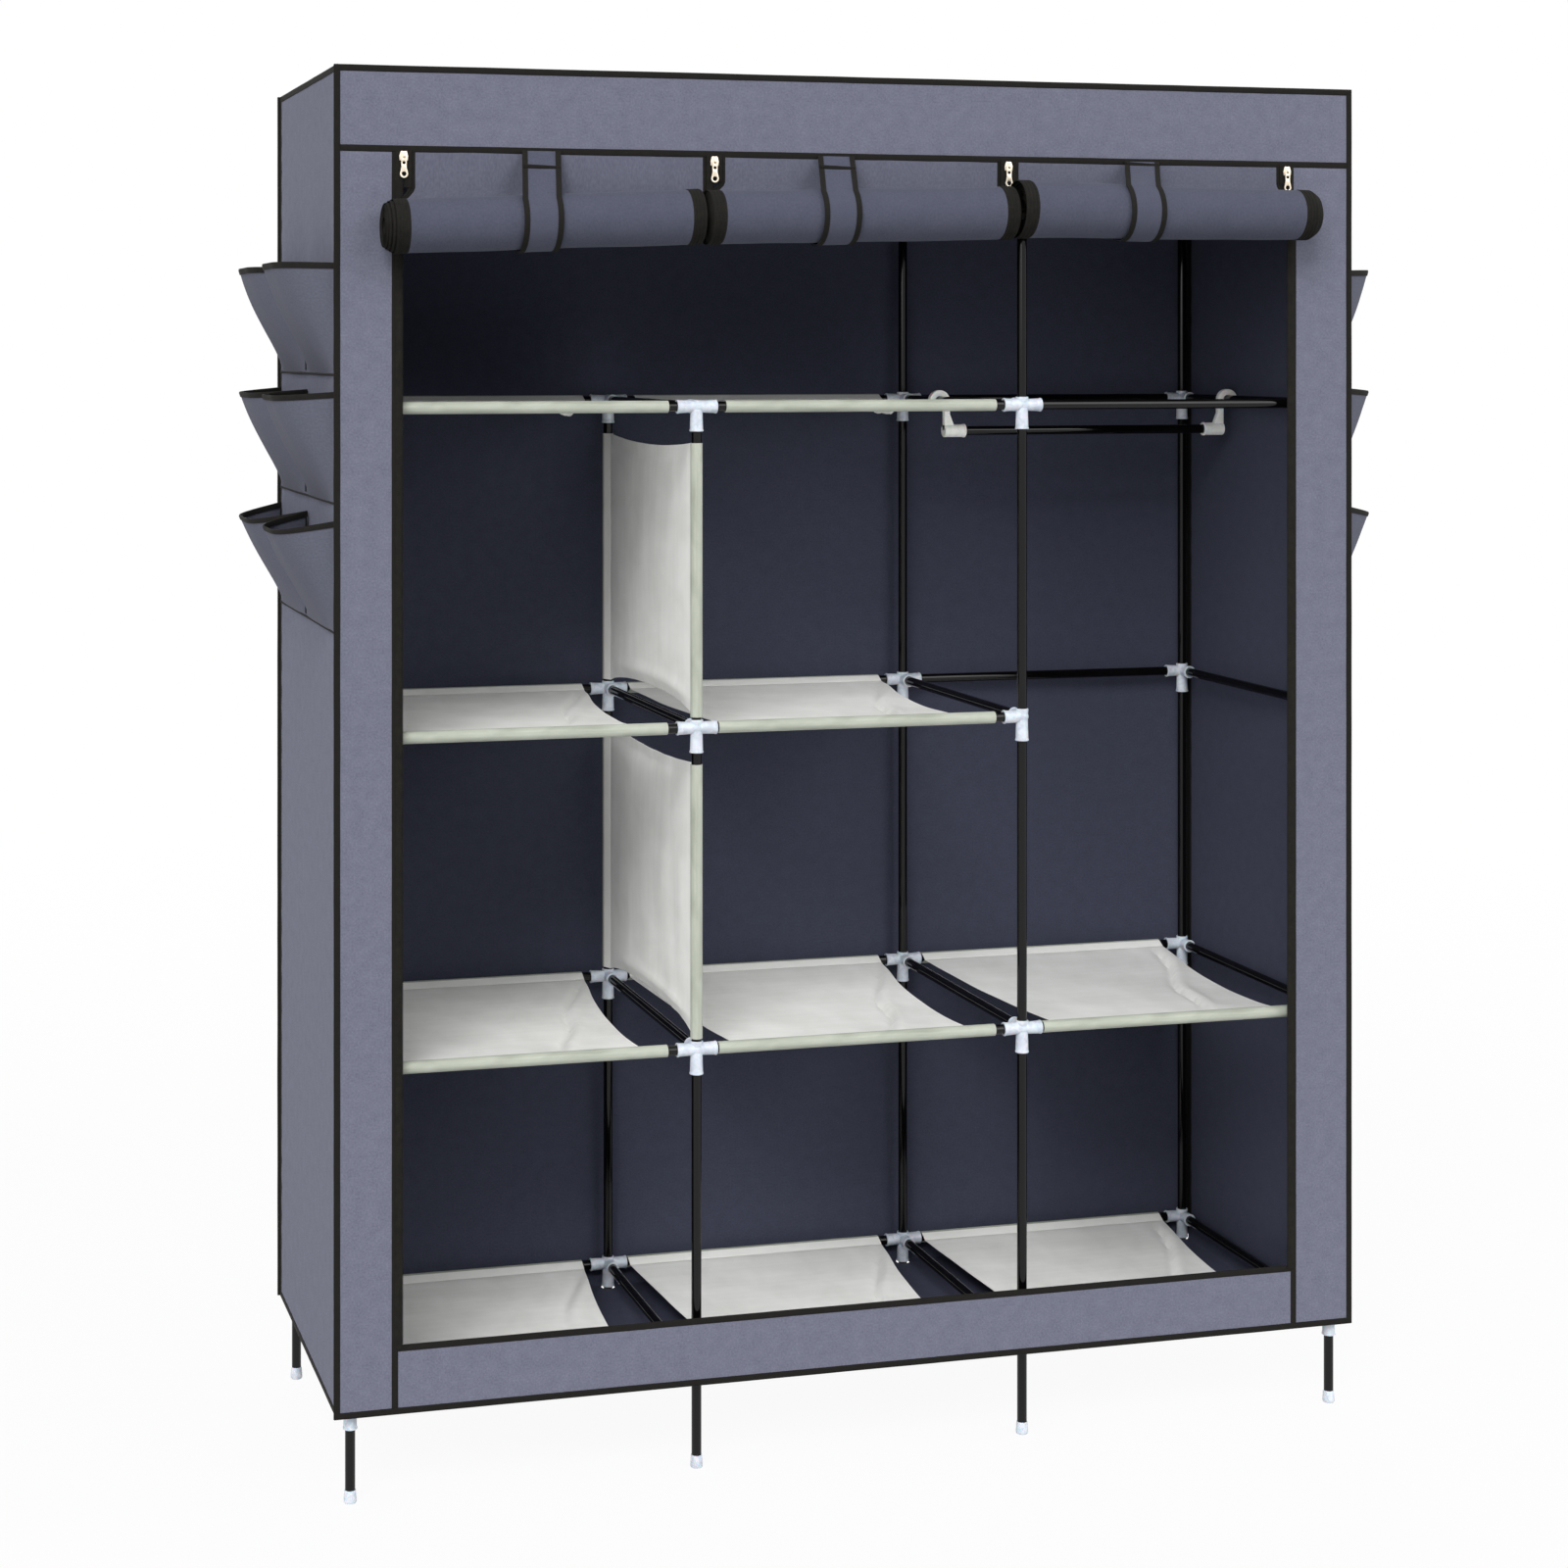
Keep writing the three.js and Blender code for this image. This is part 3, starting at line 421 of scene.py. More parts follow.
# A flat grid whose points place(u, v) moves to where the cloth lies; its UV map is in metres.
# across is a number of equal steps or a list of places from 0 to 1, and edged(u, v) says where
# the second material goes.
def clothGrid(across, along, width, length, place, edged=None):
    stops = across if isinstance(across, list) else [i / across for i in range(across + 1)]
    bm = bmesh.new()
    bmesh.ops.create_grid(bm, x_segments=len(stops) - 1, y_segments=along, size=0.5)
    for vert in bm.verts:
        vert.co.x = stops[round((vert.co.x + 0.5) * (len(stops) - 1))]
        vert.co.y += 0.5
    layer = bm.loops.layers.uv.new("cloth")
    for face in bm.faces:
        for loop in face.loops:
            loop[layer].uv = (loop.vert.co.x * width, loop.vert.co.y * length)
        middle = face.calc_center_median()
        if edged and edged(middle.x, middle.y):
            face.material_index = 1
    for vert in bm.verts:
        vert.co = place(vert.co.x, vert.co.y)
    return bm


def thicken(piece, thickness, offset=0.0, innerMaterial=0):
    modifier = piece.modifiers.new("thickness", "SOLIDIFY")
    modifier.thickness = thickness * mm
    modifier.offset = offset
    modifier.material_offset = innerMaterial
    return piece


def bow(share):
    inside = min(max(share, 0), 1)
    return 1 - (2 * inside - 1) ** 2


def ramp(share):
    inside = min(max(share, 0), 1)
    return inside * inside * (3 - 2 * inside)


def hump(distance, width):
    return math.exp(-(distance / width) ** 2)


# Where the frame's lines are
frameSizes = {"tube": 12, "socket": 16, "arm": 25, "longSocket": 30, "shortSocket": 10}  # mm
bayNames = ("left", "middle", "right")
levelCount = 5
columnCount = 4
shortColumn = 1  # its posts end at the fourth level
openBay = (2, 2)  # third level, right bay: no front rail and no shelf


def middleOf(node):
    low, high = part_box(node)
    return (low + high) / 2


columns = [middleOf(f"post_front_{i + 1}").x for i in range(columnCount)]
rows = {"front": middleOf("post_front_1").y, "rear": middleOf("post_rear_1").y}
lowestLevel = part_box("tier_frame_1")[0].z + frameSizes["longSocket"] * mm
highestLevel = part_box("tier_frame_5")[1].z - frameSizes["socket"] / 2 * mm
levelPitch = (highestLevel - lowestLevel) / (levelCount - 1)
levels = [lowestLevel + levelPitch * i for i in range(levelCount)]


def inwardOf(row):
    return 1 if row == "front" else -1


def hasRail(level, bay, row):
    return not ((level, bay) == openBay and row == "front")


def postTop(column):
    return levelCount - 2 if column == shortColumn else levelCount - 1


# Steel tubes; tuck is how far an end stops from the axis that it meets
tubeSizes = {"sides": 32, "tuck": 9, "footTuck": 4, "endRounding": 0.8}  # mm


def addTube(bm, start, end, tuckStart=tubeSizes["tuck"], tuckEnd=tubeSizes["tuck"]):
    start, end = Vector(start), Vector(end)
    direction = (end - start).normalized()
    start = start + direction * tuckStart * mm
    end = end - direction * tuckEnd * mm
    length = (end - start).length / mm
    radius, edge = frameSizes["tube"] / 2, tubeSizes["endRounding"]
    profile = [(0, 0), (radius - edge, 0), (radius, edge), (radius, length - edge),
               (radius - edge, length), (0, length)]
    addTurned(bm, profile, alongLine(start, end), tubeSizes["sides"])


def levelTubes(level):
    bm = bmesh.new()
    z = levels[level]
    for row, y in rows.items():
        for bay in range(len(bayNames)):
            if hasRail(level, bay, row):
                addTube(bm, (columns[bay], y, z), (columns[bay + 1], y, z))
    for x in columns:
        addTube(bm, (x, rows["front"], z), (x, rows["rear"], z))
    makePiece(f"level{level + 1}Tubes", bm, [enamel],
              replaces=[f"tier_frame_{level + 1}"])


def postTubes(row, column):
    bm = bmesh.new()
    x, y = columns[column], rows[row]
    addTube(bm, (x, y, 0), (x, y, levels[0]), tuckStart=tubeSizes["footTuck"])
    for level in range(postTop(column)):
        addTube(bm, (x, y, levels[level]), (x, y, levels[level + 1]))
    makePiece(f"{row}Post{column + 1}Tubes", bm, [enamel],
              replaces=[f"post_{row}_{column + 1}"])


# Foot caps: a tapered plastic cap with a rounded sole
capSizes = {"sole": 12.4, "soleInset": 1.3, "soleRise": 2.2, "widest": 15, "widestHeight": 4.5,
            "neck": 13.6, "height": 15, "rim": 0.6, "bore": 12.1, "boreDepth": 9}  # mm


def footCap(row, column):
    bm = bmesh.new()
    s = capSizes
    profile = [(0, 0), (s["sole"] / 2, 0)]
    for angle in map(math.radians, (30, 60, 90)):
        profile.append((s["widest"] / 2 - s["soleInset"] * (1 - math.sin(angle)),
                        s["soleRise"] * (1 - math.cos(angle))))
    profile += [
        (s["widest"] / 2, s["widestHeight"]), (s["neck"] / 2, s["height"] - s["rim"]),
        (s["neck"] / 2 - s["rim"] / 2, s["height"]), (s["bore"] / 2, s["height"]),
        (s["bore"] / 2, s["height"] - s["boreDepth"]), (0, s["height"] - s["boreDepth"])]
    addTurned(bm, profile, Matrix.Translation((columns[column], rows[row], 0)), 32)
    makePiece(f"{row}FootCap{column + 1}", bm, [plastic])


# Connectors: round sockets that meet in a hub, each with a slightly flared mouth
socketSizes = {"root": 7.3, "waist": 7.5, "waistAt": 0.4, "mouth": 8.0, "lip": 8.5,
               "lipLength": 2.4, "bore": 6.2, "boreDepth": 12, "edge": 0.5, "shortBed": 0.5,
               "hub": 8.2}  # mm, and waistAt a share of the length


def addSocket(bm, centre, direction, length):
    s = socketSizes
    short = length < s["boreDepth"]
    lip = s["mouth"] if short else s["lip"]
    bed = s["shortBed"] if short else length - s["boreDepth"]
    profile = [
        (0, 0), (s["root"], 0), (s["waist"], length * s["waistAt"]),
        (s["mouth"], length - s["lipLength"]), (lip, length - s["lipLength"] + s["edge"]),
        (lip, length - s["edge"]), (lip - s["edge"], length), (s["bore"] + s["edge"], length),
        (s["bore"], length - s["edge"]), (s["bore"], bed), (0, bed)]
    addTurned(bm, profile, alongLine(centre, Vector(centre) + Vector(direction)), 28)


def levelConnectors(level):
    bm = bmesh.new()
    z = levels[level]
    arm = frameSizes["arm"]
    lastColumn = columnCount - 1
    for row, y in rows.items():
        for column, x in enumerate(columns):
            centre = Vector((x, y, z))
            hub = bmesh.new()
            bmesh.ops.create_uvsphere(hub, u_segments=24, v_segments=14,
                                      radius=socketSizes["hub"] * mm)
            appendPart(bm, hub, Matrix.Translation(centre))
            if column > 0 and hasRail(level, column - 1, row):
                addSocket(bm, centre, (-1, 0, 0), arm)
            if column < lastColumn and hasRail(level, column, row):
                addSocket(bm, centre, (1, 0, 0), arm)
            addSocket(bm, centre, (0, inwardOf(row), 0), arm)
            if level > postTop(column):
                continue
            # the two middle ones of the lowest front rail have their long socket above
            up = 1 if level == 0 and 0 < column < lastColumn and row == "front" else -1
            addSocket(bm, centre, (0, 0, up), frameSizes["longSocket"])
            if level < postTop(column):
                addSocket(bm, centre, (0, 0, -up), frameSizes["shortSocket"])
    makePiece(f"level{level + 1}Connectors", bm, [plastic])


for levelIndex in range(levelCount):
    levelTubes(levelIndex)
    levelConnectors(levelIndex)
for rowName in rows:
    for columnIndex in range(columnCount):
        postTubes(rowName, columnIndex)
        footCap(rowName, columnIndex)
print("tubes, connectors and foot caps")


# Shelves and dividers: one cloth with a sewn sleeve at each end
# band is how far from each end of the span the sleeves' painted shade reaches
sleeveSizes = {"radius": 7.0, "seam": 15, "lap": 0.5, "cloth": 0.8, "arcSteps": 14, "webSteps": 44,
               "across": 56, "band": 11}  # mm
# hold is how far from a sleeve the cloth still keeps its width; a crease runs in from the rear
# right corner, and lip is the swelling beside it
shelfSizes = {"bareLeft": 2, "bareRight": 12, "bareTop": 11, "sag": 10, "edgeInset": 13,
              "frontInset": 26, "hold": 10, "creaseDepth": 6, "creaseWidth": 4.5, "creaseNear": 10,
              "creaseRun": 85, "creaseSway": 5, "lipAway": 12, "lipWidth": 9, "ripple": 0.9,
              "rippleAcross": 130, "rippleAlong": 75}  # mm
dividerSizes = {"bare": 14, "lowerGap": 3, "arch": 15, "dip": 8, "billow": 4, "creaseDepth": 3.5,
                "creaseUp": 17, "creaseWidth": 7, "topCreaseDown": 14, "topCreaseWidth": 8,
                "ripple": 1.2, "rippleUp": 110, "rippleAlong": 45, "longUp": 240,
                "longAlong": 28}  # mm


# The cloth's line from one sleeve to the other, as (along the span, off the plane) points in mm
def sleeveLine(span):
    radius, seam = sleeveSizes["radius"], sleeveSizes["seam"]
    touch = math.acos(radius / seam)  # where the loop's straight part meets the tube
    steps = sleeveSizes["arcSteps"]
    loop = [(seam, -sleeveSizes["lap"])]
    for i in range(steps + 1):
        angle = -touch - (2 * math.pi - 2 * touch) * i / steps
        loop.append((radius * math.cos(angle), radius * math.sin(angle)))
    steps = sleeveSizes["webSteps"]
    web = [(seam + (span - 2 * seam) * i / steps, 0) for i in range(steps + 1)]
    far = [(span - x, -y) for x, y in reversed(loop)]
    return loop + web + far


def lineLengths(line):
    lengths = [0]
    for (x0, y0), (x1, y1) in zip(line, line[1:]):
        lengths.append(lengths[-1] + math.hypot(x1 - x0, y1 - y0))
    return lengths


# Whether a face lies on one of the two sleeves, which are drawn darker than the web between them as
# painted shade
def onShadedSleeve(line, span):
    def edged(u, v):
        reach = line[min(round(v * (len(line) - 1)), len(line) - 1)][0]
        return min(reach, span - reach) < sleeveSizes["band"]
    return edged


# The place of a point between the two seams, from 0 to 1
def webShare(reach, span):
    return (reach - sleeveSizes["seam"]) / (span - 2 * sleeveSizes["seam"])


def shelf(level, bay):
    side = bayNames[bay]
    s = shelfSizes
    bareLeft, bareRight = s["bareLeft"], s["bareRight"]
    if level == levelCount - 2:
        bareLeft = bareRight = s["bareTop"]
    start = columns[bay] + (frameSizes["arm"] + bareLeft) * mm
    length = columns[bay + 1] - (frameSizes["arm"] + bareRight) * mm - start
    span = (rows["rear"] - rows["front"]) / mm
    line = sleeveLine(span)
    lengths = lineLengths(line)
    half = length / mm / 2
    seed = Vector((level * 7.3, bay * 3.1, 0))
    depth = s["creaseDepth"]

    def place(u, v):
        reach, off = line[round(v * (len(line) - 1))]
        share = webShare(reach, span)
        rise = bow(share)
        free = ramp(share * span / s["hold"]) * ramp((1 - share) * span / s["hold"])
        inset = s["edgeInset"] * rise + s["frontInset"] * (1 - min(max(share, 0), 1)) ** 2 * free
        across = (2 * u - 1) * (half - inset)
        drop = s["sag"] * rise * (0.8 + 0.2 * bow(u))
        if 0 < share < 1:
            crease = s["creaseNear"] + s["creaseRun"] * (1 - share)
            crease += s["creaseSway"] * math.sin(share * 12 + bay)
            fromCrease = half - inset - across - crease
            fold = hump(fromCrease, s["creaseWidth"])
            fold *= ramp((1 - share) / 0.12) * ramp(share / 0.08)
            drop += depth * fold * (1 if bay or level else 0.5)
            drop -= depth * 0.5 * hump(fromCrease + s["lipAway"], s["lipWidth"]) * ramp(rise * 2)
            spot = Vector((across / s["rippleAcross"], reach / s["rippleAlong"], 0))
            drop += s["ripple"] * noise.noise(spot + seed) * ramp(rise * 2)
        return Vector((start + length / 2 + across * mm, rows["front"] + reach * mm,
                       levels[level] + (off - drop) * mm))

    bm = clothGrid(sleeveSizes["across"], len(line) - 1, length, lengths[-1] * mm, place,
                   onShadedSleeve(line, span))
    node = f"shelf_{level + 1}_{side}"
    piece = makePiece(f"shelf{level + 1}{side.capitalize()}", bm, [shelfCloth, sleeveShadeCloth],
                      replaces=[node], sharpAngle=60)
    thicken(piece, sleeveSizes["cloth"])


def divider(name, node, level):
    s = dividerSizes
    bottom = levels[level] + (frameSizes["shortSocket"] + s["lowerGap"]) * mm
    top = levels[level + 1] - (frameSizes["longSocket"] + s["bare"]) * mm
    height = (top - bottom) / mm
    span = (rows["rear"] - rows["front"]) / mm
    line = sleeveLine(span)
    lengths = lineLengths(line)
    seed = Vector((0, level * 5.7, 4))

    def place(u, v):
        reach, off = line[round(v * (len(line) - 1))]
        share = webShare(reach, span)
        rise = bow(share)
        low = s["arch"] * rise ** 0.7
        high = height - s["dip"] * rise
        up = low + (high - low) * u
        out = s["billow"] * rise * bow(u)
        if 0 < share < 1:
            aboveArch, wide = up - low, s["creaseWidth"]
            creases = hump(aboveArch - s["creaseUp"], wide) - 0.8 * hump(aboveArch, wide)
            creases -= 0.5 * hump(high - up - s["topCreaseDown"], s["topCreaseWidth"])
            out += s["creaseDepth"] * creases * ramp(rise * 1.5)
            long = noise.noise(Vector((up / s["longUp"], reach / s["longAlong"], 7)) + seed)
            wave = noise.noise(Vector((up / s["rippleUp"], reach / s["rippleAlong"], 0)) + seed)
            out += s["ripple"] * (0.7 * long + wave) * ramp(rise * 2)
        return Vector((columns[shortColumn] - (off + out) * mm, rows["front"] + reach * mm,
                       bottom + up * mm))

    bm = clothGrid(sleeveSizes["across"], len(line) - 1, top - bottom, lengths[-1] * mm, place,
                   onShadedSleeve(line, span))
    bmesh.ops.reverse_faces(bm, faces=bm.faces)
    piece = makePiece(name, bm, [shelfCloth, sleeveShadeCloth], replaces=[node],
                      sharpAngle=60)
    thicken(piece, sleeveSizes["cloth"])


for levelIndex in range(levelCount - 1):
    for bayIndex in range(len(bayNames)):
        if levelIndex < 2 or bayIndex < 2:  # the right bay hangs clothes above its second shelf
            shelf(levelIndex, bayIndex)
divider("dividerLower", "divider_lower", 1)
divider("dividerUpper", "divider_upper", 2)
print("shelves and dividers")


# Cover; edge is how far from its seams a panel is held flat
coverSizes = {"cloth": 0.8, "step": 18, "ripple": 0.8, "rippleLength": 210, "edge": 60,
              "pucker": 0.35, "puckerLength": 34, "puckerAway": 14, "puckerWidth": 10,
              "topSag": 5, "sideSag": 2.5, "backOut": 1.5}  # mm
narrowPanel = 200  # mm, panels below this pucker less
coverLow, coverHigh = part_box("cover_back")[0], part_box("cover_top")[1]
left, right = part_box("cover_top")[0].x, coverHigh.x
front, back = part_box("cover_top")[0].y, coverHigh.y
hem, top = coverLow.z, coverHigh.z
coverWidth, coverDepth, coverHeight = right - left, back - front, top - hem
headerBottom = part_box("cover_header")[0].z
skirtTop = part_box("cover_skirt")[1].z
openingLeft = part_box("cover_left_stile")[1].x
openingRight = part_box("cover_right_stile")[0].x


# A panel from its corner, along two edge vectors whose cross product points outwards
def coverPanel(name, node, corner, across, up, lift=None):
    corner, across, up = Vector(corner), Vector(across), Vector(up)
    outwards = across.cross(up).normalized()
    width, length = across.length, up.length
    s = coverSizes
    seed = Vector((width * 9, length * 5, corner.x * 3))
    pucker = s["pucker"] * (1 if min(width, length) > narrowPanel * mm else 0.4)

    def place(u, v):
        x, y = u * width / mm, v * length / mm
        fromEdge = min(x, y, width / mm - x, length / mm - y)
        hold = ramp(fromEdge / s["edge"])
        soft = noise.noise(Vector((x, y, 0)) / s["rippleLength"] + seed) * s["ripple"] * hold
        tight = math.sin((x + y) / s["puckerLength"] * 2 * math.pi) * pucker
        soft += tight * hump(fromEdge - s["puckerAway"], s["puckerWidth"])
        if lift:
            soft += lift(x, y) * hold
        return corner + across * u + up * v + outwards * soft * mm

    steps = [max(4, round(side / mm / s["step"])) for side in (width, length)]
    bm = clothGrid(steps[0], steps[1], width, length, place)
    # its inner faces take the navy cloth, which is painted shade
    piece = makePiece(name, bm, [coverCloth, innerShadeCloth], replaces=[node],
                      sharpAngle=60)
    thicken(piece, s["cloth"], -1.0, 1)


# What each panel does between its seams, in mm: the top sags between the tubes ...
def topLift(x, y):
    x, y = left + x * mm, front + y * mm
    bay = next((i for i in range(len(bayNames)) if columns[i] <= x <= columns[i + 1]), None)
    if bay is None:
        return 0
    acrossBay = (x - columns[bay]) / (columns[bay + 1] - columns[bay])
    acrossDepth = (y - rows["front"]) / (rows["rear"] - rows["front"])
    return -coverSizes["topSag"] * bow(acrossBay) * bow(acrossDepth)


# ... the back hangs in long folds that open downwards ...
def backLift(x, y):
    folds = math.sin(x / 173) * 1.4 + math.sin(x / 61 + 1.3) * 0.8
    return folds * (1.3 - y * mm / coverHeight) + coverSizes["backOut"]


# ... and the sides draw in
def sideLift(x, y):
    return -coverSizes["sideSag"] * bow(x * mm / coverDepth)


coverPanel("coverTop", "cover_top", (left, front, top), (coverWidth, 0, 0), (0, coverDepth, 0),
           topLift)
coverPanel("coverBack", "cover_back", (right, back, hem), (-coverWidth, 0, 0),
           (0, 0, coverHeight), backLift)
coverPanel("coverLeftSide", "cover_left_side", (left, back, hem), (0, -coverDepth, 0),
           (0, 0, coverHeight), sideLift)
coverPanel("coverRightSide", "cover_right_side", (right, front, hem), (0, coverDepth, 0),
           (0, 0, coverHeight), sideLift)
coverPanel("coverHeader", "cover_header", (left, front, headerBottom), (coverWidth, 0, 0),
           (0, 0, top - headerBottom))
coverPanel("coverLeftStile", "cover_left_stile", (left, front, hem), (openingLeft - left, 0, 0),
           (0, 0, headerBottom - hem))
coverPanel("coverRightStile", "cover_right_stile", (openingRight, front, hem),
           (right - openingRight, 0, 0), (0, 0, headerBottom - hem))
coverPanel("coverSkirt", "cover_skirt", (openingLeft, front, hem),
           (openingRight - openingLeft, 0, 0), (0, 0, skirtTop - hem))


# The floor of the cover, under the lowest rails: one loose cloth with a hole for each post, which
# hangs down a little behind the skirt and steeply at the sides and the back
floorSizes = {"inset": 1.2, "hole": 9.4, "sag": 20, "frontRun": 130, "edgeRun": 14,
              "slack": 10}  # mm
holeSides = 12


def floorSag(x, y):
    s = floorSizes
    fromEdge = min(x - left, right - x, back - y) / mm
    return s["sag"] * ramp(fromEdge / s["edgeRun"]) * ramp((y - front) / mm / s["frontRun"])


def coverFloor():
    s = floorSizes
    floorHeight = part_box("cover_skirt")[0].z + coverSizes["cloth"] / 2 * mm
    inset, radius = s["inset"] * mm, s["hole"] * mm
    bm = bmesh.new()
    near, far = front + inset, back - inset
    loops = [[(left + inset, near), (right - inset, near), (right - inset, far),
              (left + inset, far)]]
    turns = [math.radians(22.5 + 360 / holeSides * i) for i in range(holeSides)]
    for x in columns:
        for y in rows.values():
            loops.append([(x + radius * math.cos(turn), y + radius * math.sin(turn))
                          for turn in turns])
    edges = []
    for loop in loops:
        verts = [bm.verts.new((x, y, floorHeight)) for x, y in loop]
        edges += [bm.edges.new((verts[i - 1], verts[i])) for i in range(len(verts))]
    bmesh.ops.triangle_fill(bm, edges=edges, use_beauty=True, normal=(0, 0, 1))
    fine = [s["edgeRun"] * i / 5 * mm for i in range(1, 6)]
    cuts = [((left + run, 0, 0), (1, 0, 0)) for run in fine]
    cuts += [((right - run, 0, 0), (1, 0, 0)) for run in fine]
    cuts += [((0, back - run, 0), (0, 1, 0)) for run in fine]
    cuts += [((0, front + s["frontRun"] * i / 8 * mm, 0), (0, 1, 0)) for i in range(1, 9)]
    for spot, direction in cuts:
        bmesh.ops.bisect_plane(bm, geom=bm.verts[:] + bm.edges[:] + bm.faces[:], dist=0.001 * mm,
                               plane_co=spot, plane_no=direction)
    layer = bm.loops.layers.uv.new("cloth")
    for face in bm.faces:
        for loop in face.loops:
            loop[layer].uv = (loop.vert.co.x - left, loop.vert.co.y - front)
    for vert in bm.verts:
        vert.co.z -= floorSag(vert.co.x, vert.co.y) * mm
    # navy cloth: painted shade of the interior
    piece = makePiece("coverFloor", bm, [innerShadeCloth])
    thicken(piece, coverSizes["cloth"])


coverFloor()
print("cover panels")


# Binding: a folded tape along every seam and edge of the cover
bindingSizes = {"width": 7.8, "thick": 2.2, "rounding": 0.9, "step": 24, "wobble": 0.25,
                "wobbleLength": 60, "lap": 0.6, "rearWidth": 12, "rightTop": 1500}  # mm
sideways, inwards, upwards = (1, 0, 0), (0, 1, 0), (0, 0, 1)


def addBand(bm, start, end, side, width=bindingSizes["width"], thick=bindingSizes["thick"]):
    s = bindingSizes
    start, end, side = Vector(start), Vector(end), Vector(side).normalized()
    along = (end - start).normalized()
    length = (end - start).length / mm
    part = bmesh.new()
    bmesh.ops.create_cube(part, size=1)
    bmesh.ops.scale(part, vec=Vector((length, width, thick)) * mm, verts=part.verts)

    def runs():
        return [edge for edge in part.edges
                if abs(edge.verts[0].co.x - edge.verts[1].co.x) > length * mm / 2]

    bmesh.ops.bevel(part, geom=runs(), offset=min(s["rounding"], thick * 0.45) * mm, segments=3,
                    profile=0.5, affect="EDGES", material=-1)
    bmesh.ops.subdivide_edges(part, edges=runs(), cuts=max(1, round(length / s["step"])))
    for vert in part.verts:
        spot = Vector((vert.co.x / mm / s["wobbleLength"], start.x * 9 + start.z * 5, start.y * 7))
        vert.co.y += noise.noise(spot) * s["wobble"] * mm
        vert.co.z += noise.noise(spot + Vector((0, 0, 9))) * s["wobble"] * mm * 0.6
    turn = Matrix((along, side, along.cross(side))).transposed().to_4x4()
    appendPart(bm, part, Matrix.Translation((start + end) / 2) @ turn)


def coverBinding():
    s = bindingSizes
    skin = coverSizes["cloth"] / 2 * mm
    half = s["width"] / 2 * mm
    over = half - s["lap"] * mm  # how far a band's end laps the next one
    bm = bmesh.new()
    for y, lean in ((front, skin), (back, -skin)):
        for z in (top, hem):
            addBand(bm, (left - over, y + lean, z), (right + over, y + lean, z), upwards)
        for x in (left, right):
            addBand(bm, (x, y + lean, hem - over), (x, y + lean, top + over), sideways)
    for x, lean in ((left, skin), (right, -skin)):
        for z in (hem, top):
            addBand(bm, (x + lean, front, z), (x + lean, back, z), upwards)
        rearEdge = back - s["rearWidth"] / 2 * mm  # the rear seams show on the sides
        addBand(bm, (x + lean, rearEdge, hem), (x + lean, rearEdge, top), inwards, s["rearWidth"])
    makePiece("coverEdgeBinding", bm, [bindingTape])

    bm = bmesh.new()
    face = front + skin
    addBand(bm, (left + half, face, headerBottom), (right - half, face, headerBottom), upwards)
    ends = {openingLeft - half: headerBottom - half, openingRight + half: s["rightTop"] * mm}
    for x, end in ends.items():
        addBand(bm, (x, face, hem + half), (x, face, end), sideways)
    addBand(bm, (openingLeft, face, skirtTop), (openingRight, face, skirtTop), upwards)
    makePiece("openingBinding", bm, [bindingTape])


coverBinding()
print("binding")


# Curtains: flat below the header, then rolled up outwards and upwards in a spiral. tape and
# rolledTape are how wide the zip tape shows at the edges, ridge is the coil that stands out on it
rollSizes = {"pitch": 2.25, "turnPoints": 40, "cloth": 0.8, "slantStart": 6, "seamGap": 0.3,
             "zipGap": 6, "tape": 8, "rolledTape": 16, "tapeOut": 0.8, "ridge": 0.7,
             "ridgePitch": 4, "ridgeStart": 2, "ripple": 0.9, "rippleLength": 90, "flatRipple": 0.8,
             "strapHold": 26, "sway": 2.2, "swayLength": 160, "curtainOverlap": 20}  # mm
flatSteps, slantSteps, plainCells = 5, 6, 38
# drop is from the header to the axis, left and right are the outermost turn's ends, creep is what
# each of the first three turns moves along, climb is what the axis gains to the right, girth is how
# thick the roll is at its left and right end
rolls = {
    "left": {"drop": 84, "left": -589, "right": -221, "creep": -4.2, "climb": 16.5,
             "girth": (0.98, 1.03)},
    "middle": {"drop": 72, "left": -214, "right": 173.5, "creep": -0.8, "climb": 10.4,
               "girth": (1.0, 1.0)},
    "right": {"drop": 64, "left": 176.5, "right": 572, "creep": 3.4, "climb": -3.2,
              "girth": (1.09, 0.96)},
}


def rollOf(side):
    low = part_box(f"curtain_{side}")[0]
    centreZ = headerBottom / mm - rolls[side]["drop"]
    radius = centreZ - low.z / mm
    return Vector((0, low.y / mm + radius, centreZ)), radius - rollSizes["cloth"] / 2


rollAxes = {side: rollOf(side) for side in rolls}


# Where a point of a curtain or strap comes to lie on the real roll, which leans and isn't round
def settled(side, x, y, z, rolled=1.0):
    centre, radius = rollAxes[side]
    roll = rolls[side]
    share = min(max((x - roll["left"]) / (roll["right"] - roll["left"]), 0), 1)
    rear = centre.y + radius
    thin, thick = roll["girth"]
    girth = 1 + (thin + (thick - thin) * share - 1) * rolled
    sway = noise.noise(Vector((x / rollSizes["swayLength"], roll["drop"], 2))) * rollSizes["sway"]
    rise = roll["climb"] * (share - 0.5) + sway
    return rear - (rear - y) * girth, centre.z + (z - centre.z) * girth + rise * rolled


def slantTopOf(side):
    centre, radius = rollAxes[side]
    return centre.z + radius + rollSizes["slantStart"]


